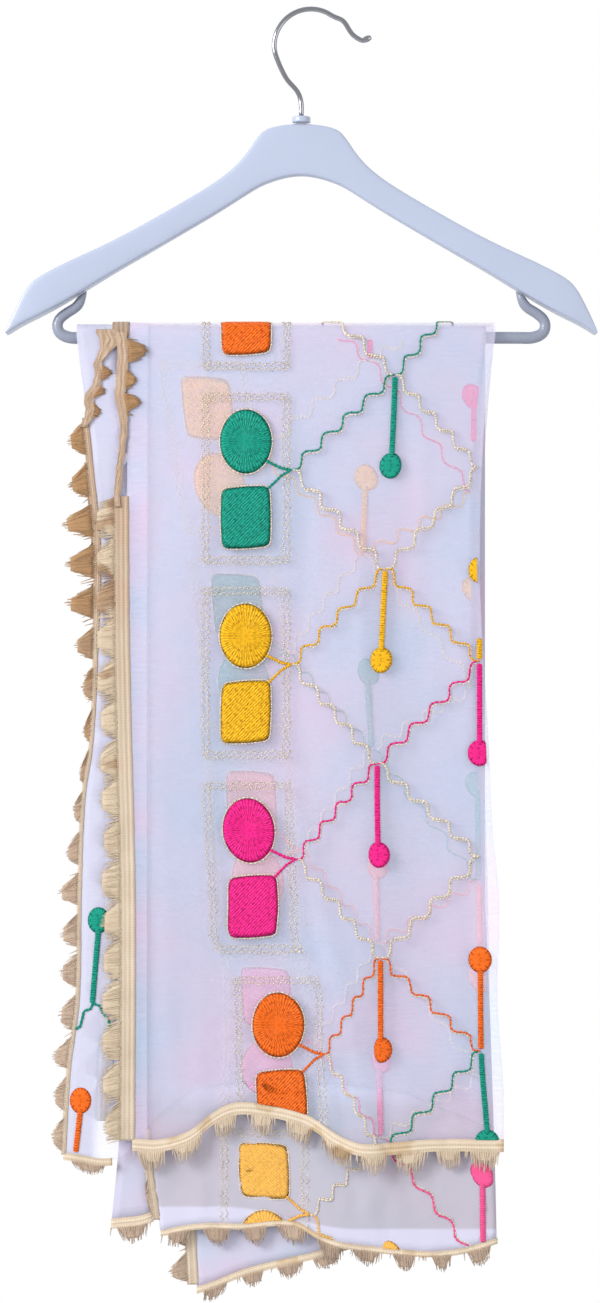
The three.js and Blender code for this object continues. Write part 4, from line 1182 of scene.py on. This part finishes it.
def makeLaces():
    outerPly, innerPly, sag = plies["nearTop"], plies["nearUnder"], laceSizes["sideSag"]
    leftward, rightward, downward = (-1, 0), (1, 0), (0, 1)
    rows, backDrop = laces["rows"], drape["backDrop"]
    rowStep, underStep = nearHem[0][1] / rows, underHem[0][1] / rows
    made = {}
    made["near_edge_lace"] = Lace(
        "near_edge_trim", sideEdge(nearCloth["left"]), leftward, laces["nearEdge"],
        spans(laces["firstRow"] * rowStep, rows * rowStep, rows - laces["firstRow"]), outerPly, sag=sag,
        style="full")
    made["near_edge_lace_turned"] = Lace(
        "turned_trim", turnedEdge, rightward, byTables("turnedTape", "turnedReach"), laces["turnedTufts"],
        outerPly, lift=1.1, plain=(-3, 124), rough=0.9)
    # the folded ply's trim is gathered in at the top, and crosses its edge lower down
    made["gathered"] = Lace(
        "gathered_trim", gatheredEdge, rightward, gatheredSize, spans(20, 60, 3), innerPly, lift=1.0,
        plain=(-5, 66), rough=1.5)
    made["near_edge_lace_back"] = Lace(
        "near_back_trim", overEdge(nearCloth["backLeft"], nearCloth["left"][0][1]), leftward, laces["edge"],
        spans(0, backDrop, rows), outerPly, part="back", sag=sag, plain=(-laces["overBar"], backDrop))
    made["under_edge_lace"] = Lace(
        "under_edge_trim", sideEdge(nearCloth["underLeft"]), leftward, byTables("underTape", "underReach"),
        spans(laces["firstUnderRow"] * underStep, rows * underStep, rows - laces["firstUnderRow"]), innerPly,
        sag=sag)
    made["under_edge_lace_back"] = Lace(
        "under_back_trim", sideEdge(nearCloth["underBackLeft"]), leftward, laces["edge"],
        spans(laces["backStart"], backDrop, 17), innerPly, part="back", sag=sag)
    made["near_hem_lace"] = Lace(
        "near_hem_trim", hemEdge(nearHem), downward, laces["nearHem"], firstColumns(nearHem, 10, 10),
        outerPly, style="hem")
    made["under_hem_lace"] = Lace(
        "under_hem_trim", hemEdge(underHem), downward, laces["underHem"], firstColumns(underHem, 1, 9),
        innerPly, style="tassel")
    for name, node, count, columns in farHems:
        hem = farCloth[name]["hem"]
        made[node] = Lace(node.replace("lace", "trim"), hemEdge(hem), downward, laces[name],
                          firstColumns(hem, count, columns), plies[name], style="tassel")
    made["far_edge_lace"] = Lace(
        "far_edge_trim", sideEdge(farCloth["farTop"]["left"]), leftward, laces["farEdge"], spans(574, 640, 2),
        plies["farTop"])
    made["far_under_edge_lace"] = Lace(
        "far_under_edge_trim", sideEdge(farCloth["farUnder"]["left"]), leftward, laces["farUnderEdge"],
        spans(636, 688, 2), plies["farUnder"], sag=sag)
    for node, lace in made.items():
        if node != "gathered":
            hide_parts(node)
    return {node: lace.obj for node, lace in made.items()}


trims = makeLaces()
print("lace sewn on")

nearTrims = [trims[name] for name in (
    "gathered", "near_edge_lace", "near_edge_lace_turned", "near_edge_lace_back", "under_edge_lace",
    "under_edge_lace_back", "near_hem_lace", "under_hem_lace")]
nearTrims + [nearThreads, stripThreads]


# angles are in degrees, scales in waves across a metre
hangerLook = {
    "merge": 0.00002, "flat": 50, "square": 60, "corner": 40, "grain": 900.0, "flow": 14.0, "drawn": 320.0,
    "shades": (0.95, 1.04), "arms": (0.4, 0.45, 0.58), "bar": (0.24, 0.265, 0.34), "wire": (0.34, 0.35, 0.38),
}


# the hanger's own pieces: a merged copy of the solid, rounded by subdivision
def roundedCopy(node, label, levels, material, edge):
    bpy.ops.object.select_all(action="DESELECT")
    source = bpy.data.objects[node]
    copy = source.copy()
    copy.data = source.data.copy()
    copy.name = label
    bpy.context.scene.collection.objects.link(copy)
    copy.select_set(True)
    bpy.context.view_layer.objects.active = copy
    bpy.ops.object.mode_set(mode="EDIT")
    bpy.ops.mesh.select_all(action="SELECT")
    bpy.ops.mesh.remove_doubles(threshold=hangerLook["merge"])
    bpy.ops.mesh.tris_convert_to_quads(face_threshold=math.radians(hangerLook["flat"]),
                                       shape_threshold=math.radians(hangerLook["square"]))
    bpy.ops.mesh.normals_make_consistent(inside=False)
    bpy.ops.object.mode_set(mode="OBJECT")
    if edge:
        corner = copy.modifiers.new("corner", "BEVEL")
        corner.width = edge * mm
        corner.segments = 2
        corner.limit_method = "ANGLE"
        corner.angle_limit = math.radians(hangerLook["corner"])
        bpy.ops.object.modifier_apply(modifier="corner")
    smoother = copy.modifiers.new("round", "SUBSURF")
    smoother.levels = levels
    smoother.render_levels = levels
    bpy.ops.object.modifier_apply(modifier="round")
    bpy.ops.object.shade_smooth()
    copy.data.materials.clear()
    copy.data.materials.append(material)
    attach(copy, "root")
    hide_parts(node)
    copy.select_set(False)
    return copy


def plasticFinish(name, tint):
    finish = Finish(name, tint, 0.38, Specular_IOR_Level=0.5, Coat_Weight=0.15)
    where, _, _, _ = finish.axes("Object")
    grain = finish.noise(where, hangerLook["grain"])
    flow = finish.noise(where, hangerLook["flow"], 3.0)
    darker, lighter = (tuple(c * shade for c in tint) for shade in hangerLook["shades"])
    finish.set("Base Color", finish.blend(flow, darker, lighter))
    finish.set("Roughness", 0.32 + 0.16 * flow)
    finish.bump(grain, 0.00005, 0.35)
    return finish.material


def chromeFinish():
    finish = Finish("polished_wire", hangerLook["wire"], 0.15, Metallic=1.0)
    where, _, _, _ = finish.axes("Object")
    drawn = finish.noise(where, hangerLook["drawn"], 2.0, (1.0, 1.0, 0.25))
    finish.set("Roughness", 0.1 + 0.14 * drawn)
    finish.bump(drawn, 0.00003, 0.3)
    return finish.material


armPlastic = plasticFinish("hanger_plastic", hangerLook["arms"])
barPlastic = plasticFinish("bar_plastic", hangerLook["bar"])
for node, label, levels, material, slot, edge in (
        ("hanger_body", "hanger_arms", 2, armPlastic, "hanger_plastic", 0),
        ("hanger_collar", "hook_collar", 1, armPlastic, "hanger_plastic", 0.5),
        ("hanger_bar", "trouser_bar", 2, barPlastic, "bar_plastic", 0),
        ("hanger_hook", "wire_hook", 2, chromeFinish(), "hook_chrome", 0)):
    roundedCopy(node, label, levels, material, edge)
print("hanger finished")


def makeFloor():
    half, z = studio["floorHalf"], studio["floorZ"]
    finish = Finish("studio_floor", (0.62, 0.62, 0.63), 0.8)
    where, _, _, _ = finish.axes("Object")
    finish.set("Roughness", 0.75 + 0.1 * finish.noise(where, 8.0))
    bpy.ops.object.select_all(action="DESELECT")
    bpy.ops.mesh.primitive_plane_add(size=1, location=(0, 0, 0))
    floor = bpy.context.object
    floor.name = "floor"
    for vertex in floor.data.vertices:
        vertex.co = Vector((vertex.co.x * half * 2, vertex.co.y * half * 2, z))
    floor.data.materials.append(finish.material)


makeFloor()
